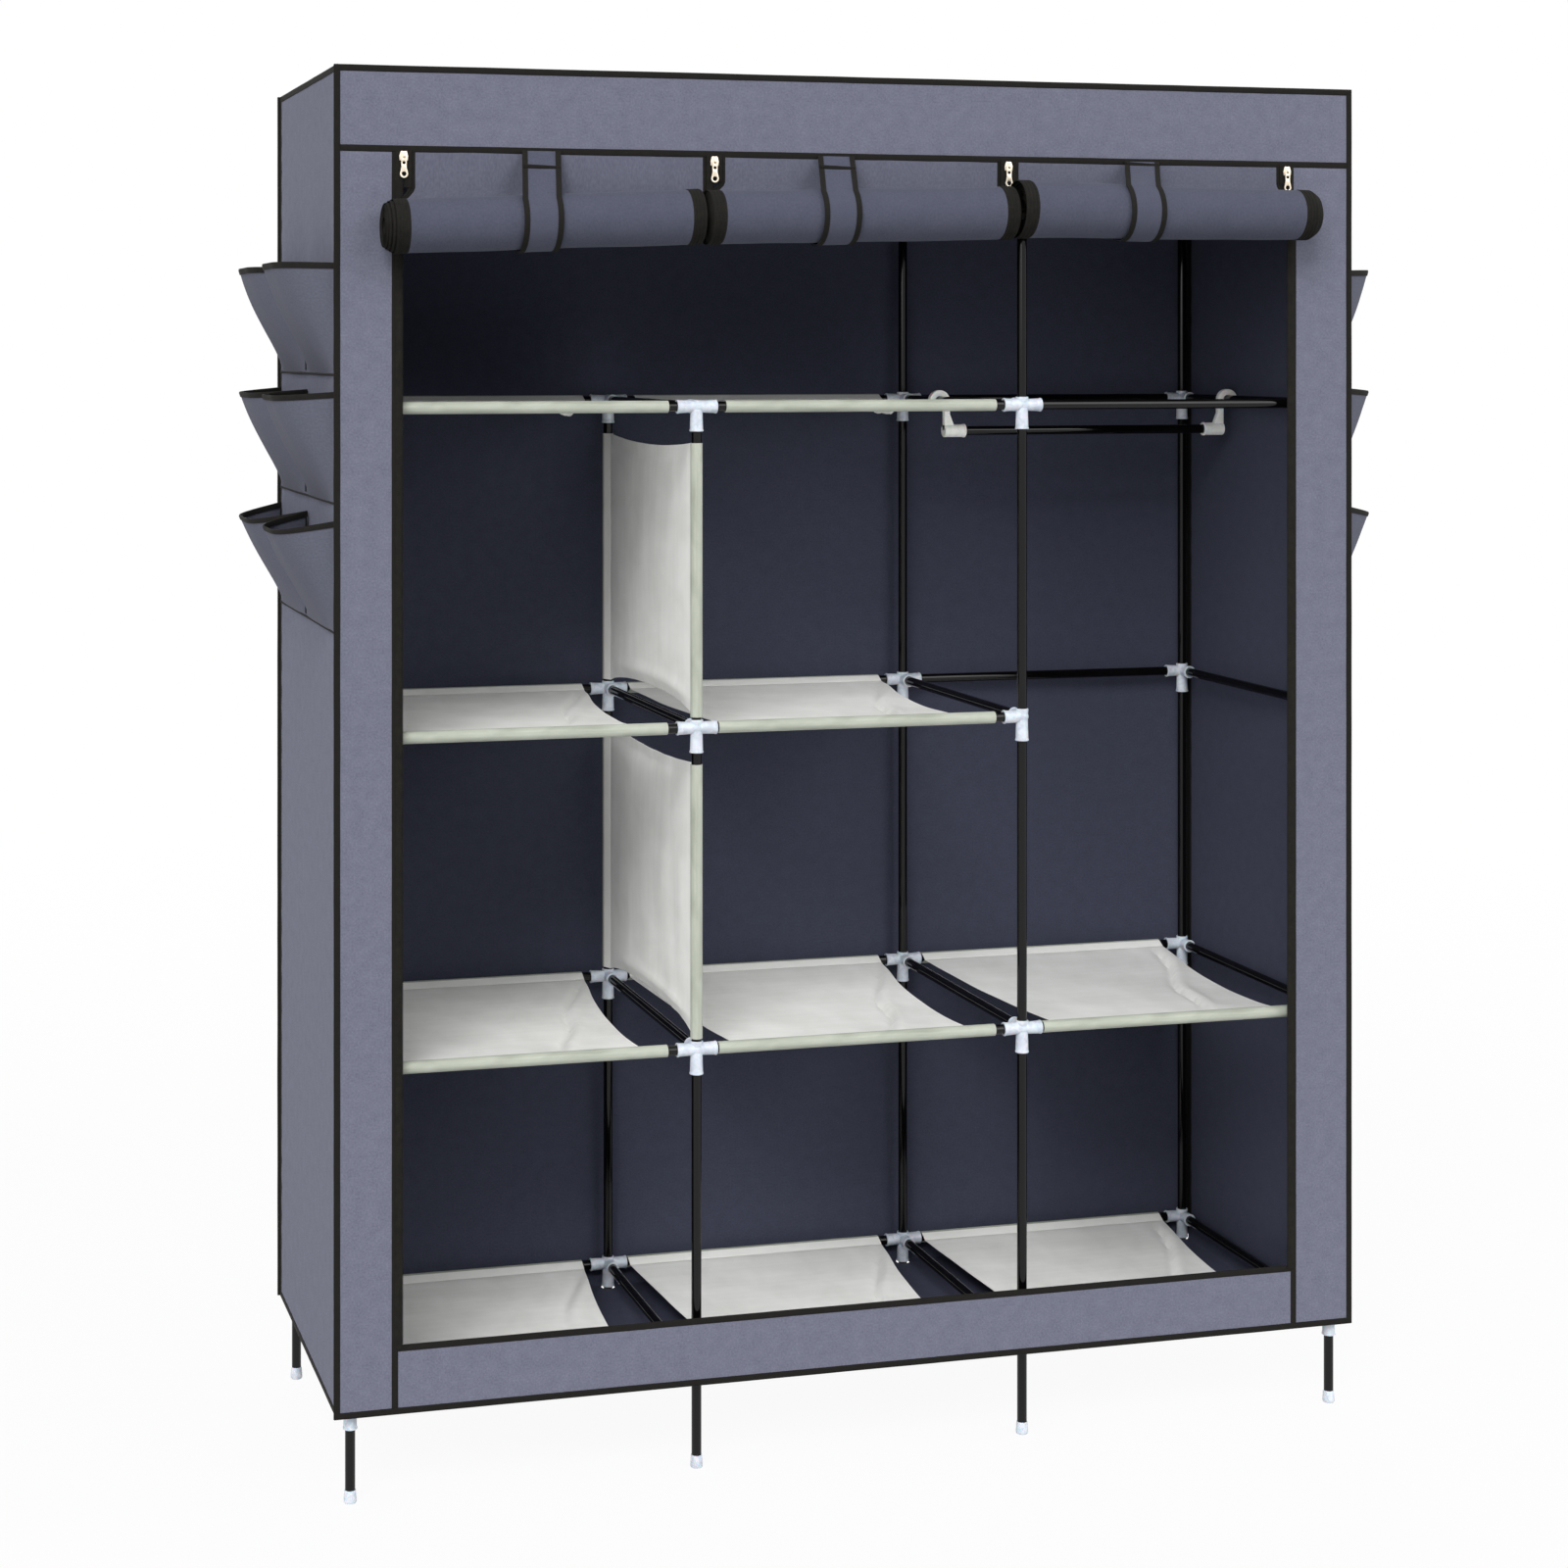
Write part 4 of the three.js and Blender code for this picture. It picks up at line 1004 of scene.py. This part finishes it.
# A curtain's line as (y, z) points in mm, with the turns and how far rolled up it is at each
def curtainLine(side):
    centre, radius = rollAxes[side]
    s = rollSizes
    flatY = front / mm + s["cloth"] / 2
    total = (headerBottom - skirtTop) / mm + s["curtainOverlap"]
    start = headerBottom / mm - s["seamGap"]
    slantTop = slantTopOf(side)
    slantEnd = centre.z + radius / 2
    rear = centre.y + radius
    line = [(flatY, start - (start - slantTop) * i / flatSteps) for i in range(flatSteps + 1)]
    rolled = [0] * len(line)
    for i in range(1, slantSteps + 1):
        share = i / slantSteps
        line.append((flatY + (rear - flatY) * ramp(share),
                     slantTop + (slantEnd - slantTop) * share))
        rolled.append(ramp(share))
    turns = [0] * len(line)
    step = 0
    while lineLengths(line)[-1] < total:
        turn = step / s["turnPoints"]
        reach = radius - s["pitch"] * turn
        angle = 2 * math.pi * turn
        line.append((centre.y + reach * math.cos(angle), centre.z - reach * math.sin(angle)))
        turns.append(turn)
        rolled.append(1)
        step += 1
    return line, turns, rolled


def curtain(side, index):
    s, roll = rollSizes, rolls[side]
    line, turns, rolled = curtainLine(side)
    lengths = lineLengths(line)
    centre = rollAxes[side][0]
    zips = [middleOf(f"zip_slider_{i}").x / mm for i in (index + 1, index + 2)]
    flatLeft, flatRight = zips[0] + s["zipGap"], zips[1] - s["zipGap"]
    width = flatRight - flatLeft
    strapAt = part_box(f"tie_strap_{side}")[0].x / mm + strapSizes["width"] / 2

    def tapeWidth(i):
        return s["rolledTape"] if rolled[i] > 0.6 else s["tape"]

    def place(u, v):
        i = round(v * (len(line) - 1))
        y, z = line[i]
        creep = roll["creep"] * min(turns[i], 3)
        leftX = flatLeft + (roll["left"] - flatLeft) * rolled[i] + creep
        rightX = flatRight + (roll["right"] - flatRight) * rolled[i] + creep
        x = leftX + (rightX - leftX) * u
        fromEnd = min(u, 1 - u) * width
        proud = 0
        if fromEnd < tapeWidth(i):
            wave = math.cos(2 * math.pi * (fromEnd - s["ridgeStart"]) / s["ridgePitch"])
            proud = (s["tapeOut"] + s["ridge"] * wave) * 0.6
        away = Vector((y - centre.y, z - centre.z))
        if turns[i] > 0 and away.length:
            spot = Vector((x / s["rippleLength"], turns[i] * 0.4, index * 5))
            soft = noise.noise(spot) * s["ripple"] * ramp(abs(x - strapAt) / s["strapHold"] - 1)
            away = away.normalized() * (proud + soft)
            y, z = y + away.x, z + away.y
        else:
            soft = noise.noise(Vector((x / 70, z / 40, index))) * s["flatRipple"]
            y += soft * (1 - rolled[i]) - proud
        y, z = settled(side, x, y, z, rolled[i])
        return Vector((x, y, z)) * mm

    def edged(u, v):
        i = min(round(v * (len(line) - 1)), len(line) - 1)
        return min(u, 1 - u) * width < tapeWidth(i)

    ends = list(range(s["rolledTape"] + 1))
    plain = width - 2 * ends[-1]
    stops = ends + [ends[-1] + plain * i / plainCells for i in range(1, plainCells)]
    stops += [width - end for end in reversed(ends)]
    bm = clothGrid([stop / width for stop in stops], len(line) - 1, width * mm, lengths[-1] * mm,
                   place, edged)
    bmesh.ops.reverse_faces(bm, faces=bm.faces)
    # the back faces, which are the outside of the roll, take the darker copy of the cloth: painted
    # shade
    piece = makePiece(f"curtain{side.capitalize()}", bm,
                      [curtainCloth, zipperTape, rollShadeCloth, zipperTape],
                      replaces=[f"curtain_{side}"], sharpAngle=60)
    thicken(piece, s["cloth"], 0, 2)


# Tie straps: a cloth strap with two bound edges and an end bar; it goes down in front of the roll,
# under it and up behind it to the header
strapSizes = {"width": 46, "thick": 0.8, "edge": 6.2, "edgeOver": 0.4, "edgeProud": 0.7,
              "startSteps": 10, "arcSteps": 30, "riseSteps": 8, "leave": 290, "gap": 1.2,
              "rollGap": 0.6, "rearGap": 0.5, "barThick": 2.6, "barHigh": 4.8, "barProud": 1.8,
              "barTilt": 1.0, "barInset": 0.5}  # mm, and leave in degrees
barDrops = {"left": 20, "middle": 15, "right": 4}  # mm below the header


def strapLine(side):
    s = strapSizes
    centre = rollAxes[side][0]
    low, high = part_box(f"tie_strap_{side}")
    wrap = centre.y - low.y / mm - s["rollGap"]
    topZ = headerBottom / mm - rollSizes["seamGap"]
    frontY = front / mm - s["gap"]
    rearY = high.y / mm - s["rearGap"]
    away = math.hypot(frontY - centre.y, topZ - centre.z)
    touch = math.atan2(topZ - centre.z, frontY - centre.y) + math.acos(wrap / away)
    leave = math.radians(s["leave"])
    arc = []
    for i in range(s["arcSteps"] + 1):
        angle = touch + (leave - touch) * i / s["arcSteps"]
        arc.append((centre.y + wrap * math.cos(angle), centre.z + wrap * math.sin(angle)))
    startShares = [i / s["startSteps"] for i in range(s["startSteps"])]
    riseShares = [i / s["riseSteps"] for i in range(s["riseSteps"] + 1)]
    start = [(frontY + (arc[0][0] - frontY) * share, topZ + (arc[0][1] - topZ) * share)
             for share in startShares]
    leaveY, leaveZ = arc[-1]
    cornerZ = leaveZ - (rearY - leaveY) / math.tan(leave)
    rise = [(rearY, cornerZ + (topZ - cornerZ) * share) for share in riseShares]
    rolled = startShares + [1] * len(arc) + [1 - ramp(share) for share in riseShares]
    return start + arc + rise, rolled


def tieStrap(side):
    s = strapSizes
    line, rolled = strapLine(side)
    lengths = lineLengths(line)
    low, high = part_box(f"tie_strap_{side}")
    half = s["width"] / 2
    middle = low.x / mm + half
    lean = (high.x - low.x) / mm - s["width"]

    def placer(inner, outer, proud):
        def place(u, v):
            i = round(v * (len(line) - 1))
            y, z = line[i]
            before, after = line[max(i - 1, 0)], line[min(i + 1, len(line) - 1)]
            run = Vector((after[0] - before[0], after[1] - before[1])).normalized()
            y, z = y + run.y * proud, z - run.x * proud
            x = middle + inner + (outer - inner) * u
            x += lean * (1 - rolled[i] if i < s["startSteps"] else 0)
            y, z = settled(side, x, y, z, rolled[i])
            return Vector((x, y, z)) * mm
        return place

    name = f"tieStrap{side.capitalize()}"
    bm = clothGrid(8, len(line) - 1, s["width"] * mm, lengths[-1] * mm, placer(-half, half, 0))
    # the strap takes the roll's darker copy of the curtain cloth: painted shade
    strap = makePiece(name, bm, [rollShadeCloth], replaces=[f"tie_strap_{side}"],
                      sharpAngle=60)
    thicken(strap, s["thick"])
    outer, inner = half + s["edgeOver"], half - s["edge"]
    for label, start, end in (("Left", -outer, -inner), ("Right", inner, outer)):
        bm = clothGrid(4, len(line) - 1, s["edge"] * mm, lengths[-1] * mm,
                       placer(start, end, s["edgeProud"]))
        edge = makePiece(f"{name}{label}Edge", bm, [bindingTape], sharpAngle=60)
        thicken(edge, s["thick"])

    (startY, startZ), (endY, endZ) = line[0], line[s["startSteps"]]
    share = barDrops[side] / (startZ - endZ)
    x = middle + lean * (1 - share)
    y = startY + (endY - startY) * share - s["barProud"]
    z = startZ + (endZ - startZ) * share
    reach = half - s["barInset"]
    bm = bmesh.new()
    addBand(bm, Vector((x - reach, y, z + s["barTilt"])) * mm,
            Vector((x + reach, y, z - s["barTilt"])) * mm, upwards, s["barHigh"], s["barThick"])
    bar = makePiece(f"{name}Bar", bm, [bindingTape])


for bayIndex, sideName in enumerate(bayNames):
    tieStrap(sideName)
    curtain(sideName, bayIndex)
print("curtains and tie straps")


# Zips: tape halves with their coil, slider and pull tab
zipSizes = {"tape": 8.5, "tapeThick": 0.7, "tapeOut": 0.9, "slit": 1.2, "coil": 2.4,
            "coilThick": 1.5, "coilPitch": 2.4, "coilOut": 0.35}  # mm


def addTapeHalf(bm, x, sign, low, high):
    s = zipSizes
    y = front - s["tapeOut"] * mm
    inner = x + sign * s["slit"] * mm
    middle = inner + sign * s["tape"] / 2 * mm
    addBand(bm, (middle, y, low), (middle, y, high), sideways, s["tape"], s["tapeThick"])
    count = max(2, round((high - low) / mm / s["coilPitch"]))
    for i in range(count):
        part = bmesh.new()
        bmesh.ops.create_icosphere(part, subdivisions=1, radius=0.5 * mm)
        bmesh.ops.scale(part, vec=(s["coil"], s["coilThick"], s["coilPitch"] * 0.8),
                        verts=part.verts)
        z = low + (high - low) * (i + 0.5) / count
        appendPart(bm, part, Matrix.Translation((inner, y - s["coilOut"] * mm, z)))


def zipTape(index):
    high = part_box(f"zip_tape_{index + 1}")[1]
    x = middleOf(f"zip_slider_{index + 1}").x
    bm = bmesh.new()
    for sign, bay in ((-1, index - 1), (1, index)):
        onStile = bay not in range(len(bayNames))  # else this half is sewn to a curtain
        end = skirtTop if onStile else (slantTopOf(bayNames[bay]) + rollSizes["seamGap"]) * mm
        addTapeHalf(bm, x, sign, end, high.z)
    makePiece(f"zipTape{index + 1}", bm, [zipperTape],
              replaces=[f"zip_tape_{index + 1}"])


# A plate from closed loops of (x, z) points in mm, the first one outside, with rounded edges
def addPlate(bm, loops, thickness, rounding, matrix):
    part = bmesh.new()
    edges = []
    for loop in loops:
        verts = [part.verts.new((x * mm, 0, z * mm)) for x, z in loop]
        edges += [part.edges.new((verts[i - 1], verts[i])) for i in range(len(verts))]
    bmesh.ops.triangle_fill(part, edges=edges, use_beauty=True)
    grown = bmesh.ops.extrude_face_region(part, geom=part.faces[:])
    moved = [item for item in grown["geom"] if isinstance(item, bmesh.types.BMVert)]
    bmesh.ops.translate(part, vec=(0, thickness * mm, 0), verts=moved)
    bmesh.ops.recalc_face_normals(part, faces=part.faces)
    sharp = [edge for edge in part.edges if edge.calc_face_angle(0) > math.radians(60)]
    bmesh.ops.bevel(part, geom=sharp, offset=rounding * mm, segments=2, profile=0.5,
                    affect="EDGES", material=-1)
    appendPart(bm, part, matrix)


def circlePoints(x, z, radius, start=0, end=360, steps=20):
    count = steps if abs(end - start) >= 360 else steps + 1
    turns = [math.radians(start + (end - start) * i / steps) for i in range(count)]
    return [(x + radius * math.cos(turn), z + radius * math.sin(turn)) for turn in turns]


sliderSizes = {"width": 10.5, "shoulder": 8.6, "shoulderRound": 1.9, "length": 11, "tailInset": 0.4,
               "plate": 1.0, "plateOut": 2.6, "rounding": 0.3, "neck": (2.0, 3.2, 3.6),
               "neckOut": 0.8, "neckDown": 2.2, "bail": 1.5, "bailThick": 1.0, "bailSink": 0.4,
               "bailHalf": 2.6}  # mm
pullSizes = {"length": 26, "end": 9.6, "waist": 6.2, "head": 7.6, "thick": 1.0, "axisDown": 0.6,
             "hole": 5.6, "smallHole": 3.8, "smallHoleDown": 8.2, "slot": 3.2, "slotDown": 2.3,
             "rounding": 0.25}  # mm


def zipSlider(index):
    s = sliderSizes
    low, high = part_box(f"zip_slider_{index + 1}")
    centre = (low + high) / 2
    half, wide, tail = s["length"] / 2, s["width"] / 2, s["width"] / 2 - s["tailInset"]
    shoulderX, shoulderZ = s["shoulder"] / 4, half - 1.8
    outline = circlePoints(-shoulderX, shoulderZ, s["shoulderRound"], 60, 180, 6)
    outline += [(-wide, -0.5), (-tail, -half), (tail, -half), (wide, -0.5)]
    outline += circlePoints(shoulderX, shoulderZ, s["shoulderRound"], 0, 120, 6)
    bm = bmesh.new()
    plateFront = front - s["plateOut"] * mm
    for y in (plateFront, front):
        addPlate(bm, [outline], s["plate"], s["rounding"],
                 Matrix.Translation((centre.x, y, centre.z)))
    neck = bmesh.new()
    bmesh.ops.create_cube(neck, size=1)
    bmesh.ops.scale(neck, vec=Vector(s["neck"]) * mm, verts=neck.verts)
    neckZ = centre.z + (half - s["neckDown"]) * mm
    appendPart(bm, neck, Matrix.Translation((centre.x, front - s["neckOut"] * mm, neckZ)))
    reach = plateFront - low.y - s["bailThick"] / 2 * mm
    arch = []
    for angle in (math.pi * i / 8 for i in range(9)):
        arch.append((centre.x, plateFront + s["bailSink"] * mm - reach * math.sin(angle) ** 0.6,
                     centre.z + math.cos(angle) * s["bailHalf"] * mm))
    for start, end in zip(arch, arch[1:]):
        addBand(bm, start, end, sideways, s["bail"], s["bailThick"])
    makePiece(f"zipSlider{index + 1}", bm, [nickel], f"slider_{index + 1}",
              [f"zip_slider_{index + 1}"])


def zipPull(index):
    s = pullSizes
    low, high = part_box(f"zip_pull_{index + 1}")
    x, y = (low.x + high.x) / 2, (low.y + high.y) / 2
    axisZ = high.z / mm - s["axisDown"]
    head, end, waist = s["head"] / 2, s["end"] / 2, s["waist"] / 2
    endZ = axisZ - s["length"] + end
    leftHalf = [(-waist, axisZ - s["length"] * 0.5), (-waist - 0.2, axisZ - 8),
                (-head, axisZ - 3.5), (-head, axisZ + 0.2), (-head + 0.6, axisZ + 0.6)]
    outline = leftHalf + [(-x, z) for x, z in reversed(leftHalf)]
    outline += circlePoints(0, endZ, end, 25, -205, 20)
    slot = circlePoints(0, axisZ - s["slotDown"], s["slot"] / 2, steps=14)
    small = circlePoints(0, axisZ - s["smallHoleDown"], s["smallHole"] / 2, steps=12)
    hole = circlePoints(0, endZ, s["hole"] / 2, steps=18)
    bm = bmesh.new()
    addPlate(bm, [outline, slot, small, hole], s["thick"], s["rounding"],
             Matrix.Translation((x, y - s["thick"] / 2 * mm, 0)))
    makePiece(f"zipPull{index + 1}", bm, [nickel], f"pull_{index + 1}",
              [f"zip_pull_{index + 1}"])


for zipIndex in range(len(bayNames) + 1):
    zipTape(zipIndex)
    zipSlider(zipIndex)
    zipPull(zipIndex)
print("zips")


# Side pockets: rows of two, sewn down at the seams, that stand open at the mouth
pocketSizes = {"bulge": 64, "height": 130, "seam": 5, "stepsAcross": 26, "stepsUp": 22,
               "cloth": 0.8, "binding": 6, "bindingThick": 0.7, "mouthSag": (-2, 5, 13),
               "ripple": 1.6, "rippleLength": 60, "creaseDepth": 1.2, "belly": 0.085,
               "bottomLine": 2.6, "bottomThick": 1.4, "bottomUp": 1, "seamTape": 5,
               "seamThick": 1.8, "seamOut": 0.9, "seamStart": 4, "seamInset": 2}  # mm


def pocketRow(side, row):
    sign = -1 if side == "left" else 1
    s = pocketSizes
    low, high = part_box(f"pocket_row_{side}_{row + 1}")
    wall = (high.x if sign < 0 else low.x) / mm
    startY, endY = low.y / mm, high.y / mm
    baseZ = high.z / mm - s["height"]
    pitch = (endY - startY) / 2
    seed = Vector((row * 3.7, sign * 2.2, 1))

    def surface(u, v):
        pocket = 0 if u < 0.5 else 1
        along = (u - pocket / 2) * 2 * pitch
        share = (along - s["seam"] / 2) / (pitch - s["seam"])
        plan = 1 - abs(2 * min(max(share, 0), 1) - 1) ** (3.4 + v)
        profile = v + s["belly"] * math.sin(math.pi * v ** 1.4)
        spot = Vector((along / s["rippleLength"], v * 1.4, pocket * 4))
        out = s["bulge"] * plan * profile
        out += noise.noise(spot + seed) * s["ripple"] * ramp(plan * 2) * profile
        crease = hump(share - 0.24 + 0.1 * (1 - v), 0.035)
        out -= s["creaseDepth"] * crease * ramp(plan * 2)
        z = baseZ + s["height"] * v - s["mouthSag"][row] * plan * v ** 3
        return Vector((wall + sign * max(out, 0), startY + pocket * pitch + along, z))

    def place(u, v):
        return surface(u, v) * mm

    across = 2 * s["stepsAcross"]
    bm = clothGrid(across, s["stepsUp"], (endY - startY) * mm, s["height"] * mm, place)
    if sign < 0:
        bmesh.ops.reverse_faces(bm, faces=bm.faces)
    name = f"pocketRow{side.capitalize()}{row + 1}"
    mouthLine = [surface(i / across, 1) for i in range(across + 1)]
    girth = sum((after - before).length for before, after in zip(mouthLine, mouthLine[1:]))
    # the darker pocket cloth is painted shade
    piece = makePiece(name, bm, [pocketShadedCloth],
                      replaces=[f"pocket_row_{side}_{row + 1}"], sharpAngle=60)
    thicken(piece, s["cloth"])

    # the binding's section over the mouth, as (off the cloth, above the mouth) points
    rim = [(1.1, -s["binding"]), (1.1, -1), (0.5, 0.9), (-0.5, 0.9), (-1.1, -1),
           (-1.1, -s["binding"])]

    def rimPlace(u, v):
        off, rise = rim[round(v * (len(rim) - 1))]
        spot = surface(u, 1 + min(rise, 0) / s["height"])
        run = surface(min(u + 0.01, 1), 1) - surface(max(u - 0.01, 0), 1)
        spot += Vector((run.y, -run.x, 0)).normalized() * sign * off
        spot.z += max(rise, 0)
        return spot * mm

    bm = clothGrid(across, len(rim) - 1, girth * mm, 2 * s["binding"] * mm, rimPlace)
    bmesh.ops.recalc_face_normals(bm, faces=bm.faces)
    mouth = makePiece(f"{name}Binding", bm, [bindingTape], sharpAngle=80)
    thicken(mouth, s["bindingThick"])

    bm = bmesh.new()
    skin = (wall + sign * s["seamOut"]) * mm
    bottom = (baseZ + s["bottomUp"]) * mm
    addBand(bm, (skin, startY * mm, bottom), (skin, endY * mm, bottom), upwards, s["bottomLine"],
            s["bottomThick"])
    for y in (startY + s["seamInset"], startY + pitch, endY - s["seamInset"]):
        addBand(bm, (skin, y * mm, bottom + s["seamStart"] * mm), (skin, y * mm, high.z), inwards,
                s["seamTape"], s["seamThick"])
    seams = makePiece(f"{name}Seams", bm, [bindingTape])


for rowIndex in range(len(pocketSizes["mouthSag"])):
    for sideName in ("left", "right"):
        pocketRow(sideName, rowIndex)
print("pockets")


# Hanging rod and its hooks, which sit over the side tubes
hookSizes = {"inner": 6.33, "band": 8, "width": 9, "tip": 205, "drop": 40, "socket": 17,
             "socketLength": 22, "socketEdge": 0.6, "mouthLength": 3, "mouthEdge": 0.4,
             "gussetTop": 18, "gussetReach": 8, "gussetFoot": 2, "rounding": 1.0,
             "bore": 6.2}  # mm, and tip in degrees


def hangingRod():
    low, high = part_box("hanging_rod")
    centre = (low + high) / 2
    bm = bmesh.new()
    addTube(bm, (low.x, centre.y, centre.z), (high.x, centre.y, centre.z), 0, 0)
    makePiece("hangingRodTube", bm, [enamel], "hanging_rail", ["hanging_rod"])


def rodHook(side, sign, column):
    s = hookSizes
    outer, inner, drop = s["inner"] + s["band"], s["inner"], s["drop"]
    reach = outer + s["gussetReach"]
    outline = circlePoints(0, 0, outer, s["tip"], 0, 26)
    outline += [(outer, -s["gussetTop"]), (reach, s["gussetFoot"] - drop), (reach, -drop),
                (inner, -drop)]
    outline += circlePoints(0, 0, inner, 0, s["tip"], 22)
    outline = [(x * sign, z) for x, z in outline]
    origin = Vector((columns[column], middleOf("hanging_rod").y, levels[3]))
    bm = bmesh.new()
    addPlate(bm, [outline], s["width"], s["rounding"],
             Matrix.Translation(origin - Vector((0, s["width"] / 2 * mm, 0))))
    radius, edge, mouth = s["socket"] / 2, s["socketEdge"], s["mouthEdge"]
    length = s["band"] + s["socketLength"]
    flare = length - s["mouthLength"]
    profile = [(0, 0), (radius - edge, 0), (radius, edge), (radius, flare),
               (radius + edge, flare + edge), (radius + edge, length - mouth),
               (radius + mouth / 2, length), (s["bore"] + mouth, length),
               (s["bore"], length - mouth), (s["bore"], s["band"]), (0, s["band"])]
    start = origin + Vector((inner * sign, 0, -drop)) * mm
    addTurned(bm, profile, alongLine(start, start + Vector((sign, 0, 0))), 32)
    makePiece(f"rodHook{side.capitalize()}", bm, [hookPlastic], "hanging_rail",
              [f"rod_hook_{side}"])


hangingRod()
rodHook("left", 1, 2)
rodHook("right", -1, 3)
print("hanging rod and hooks")
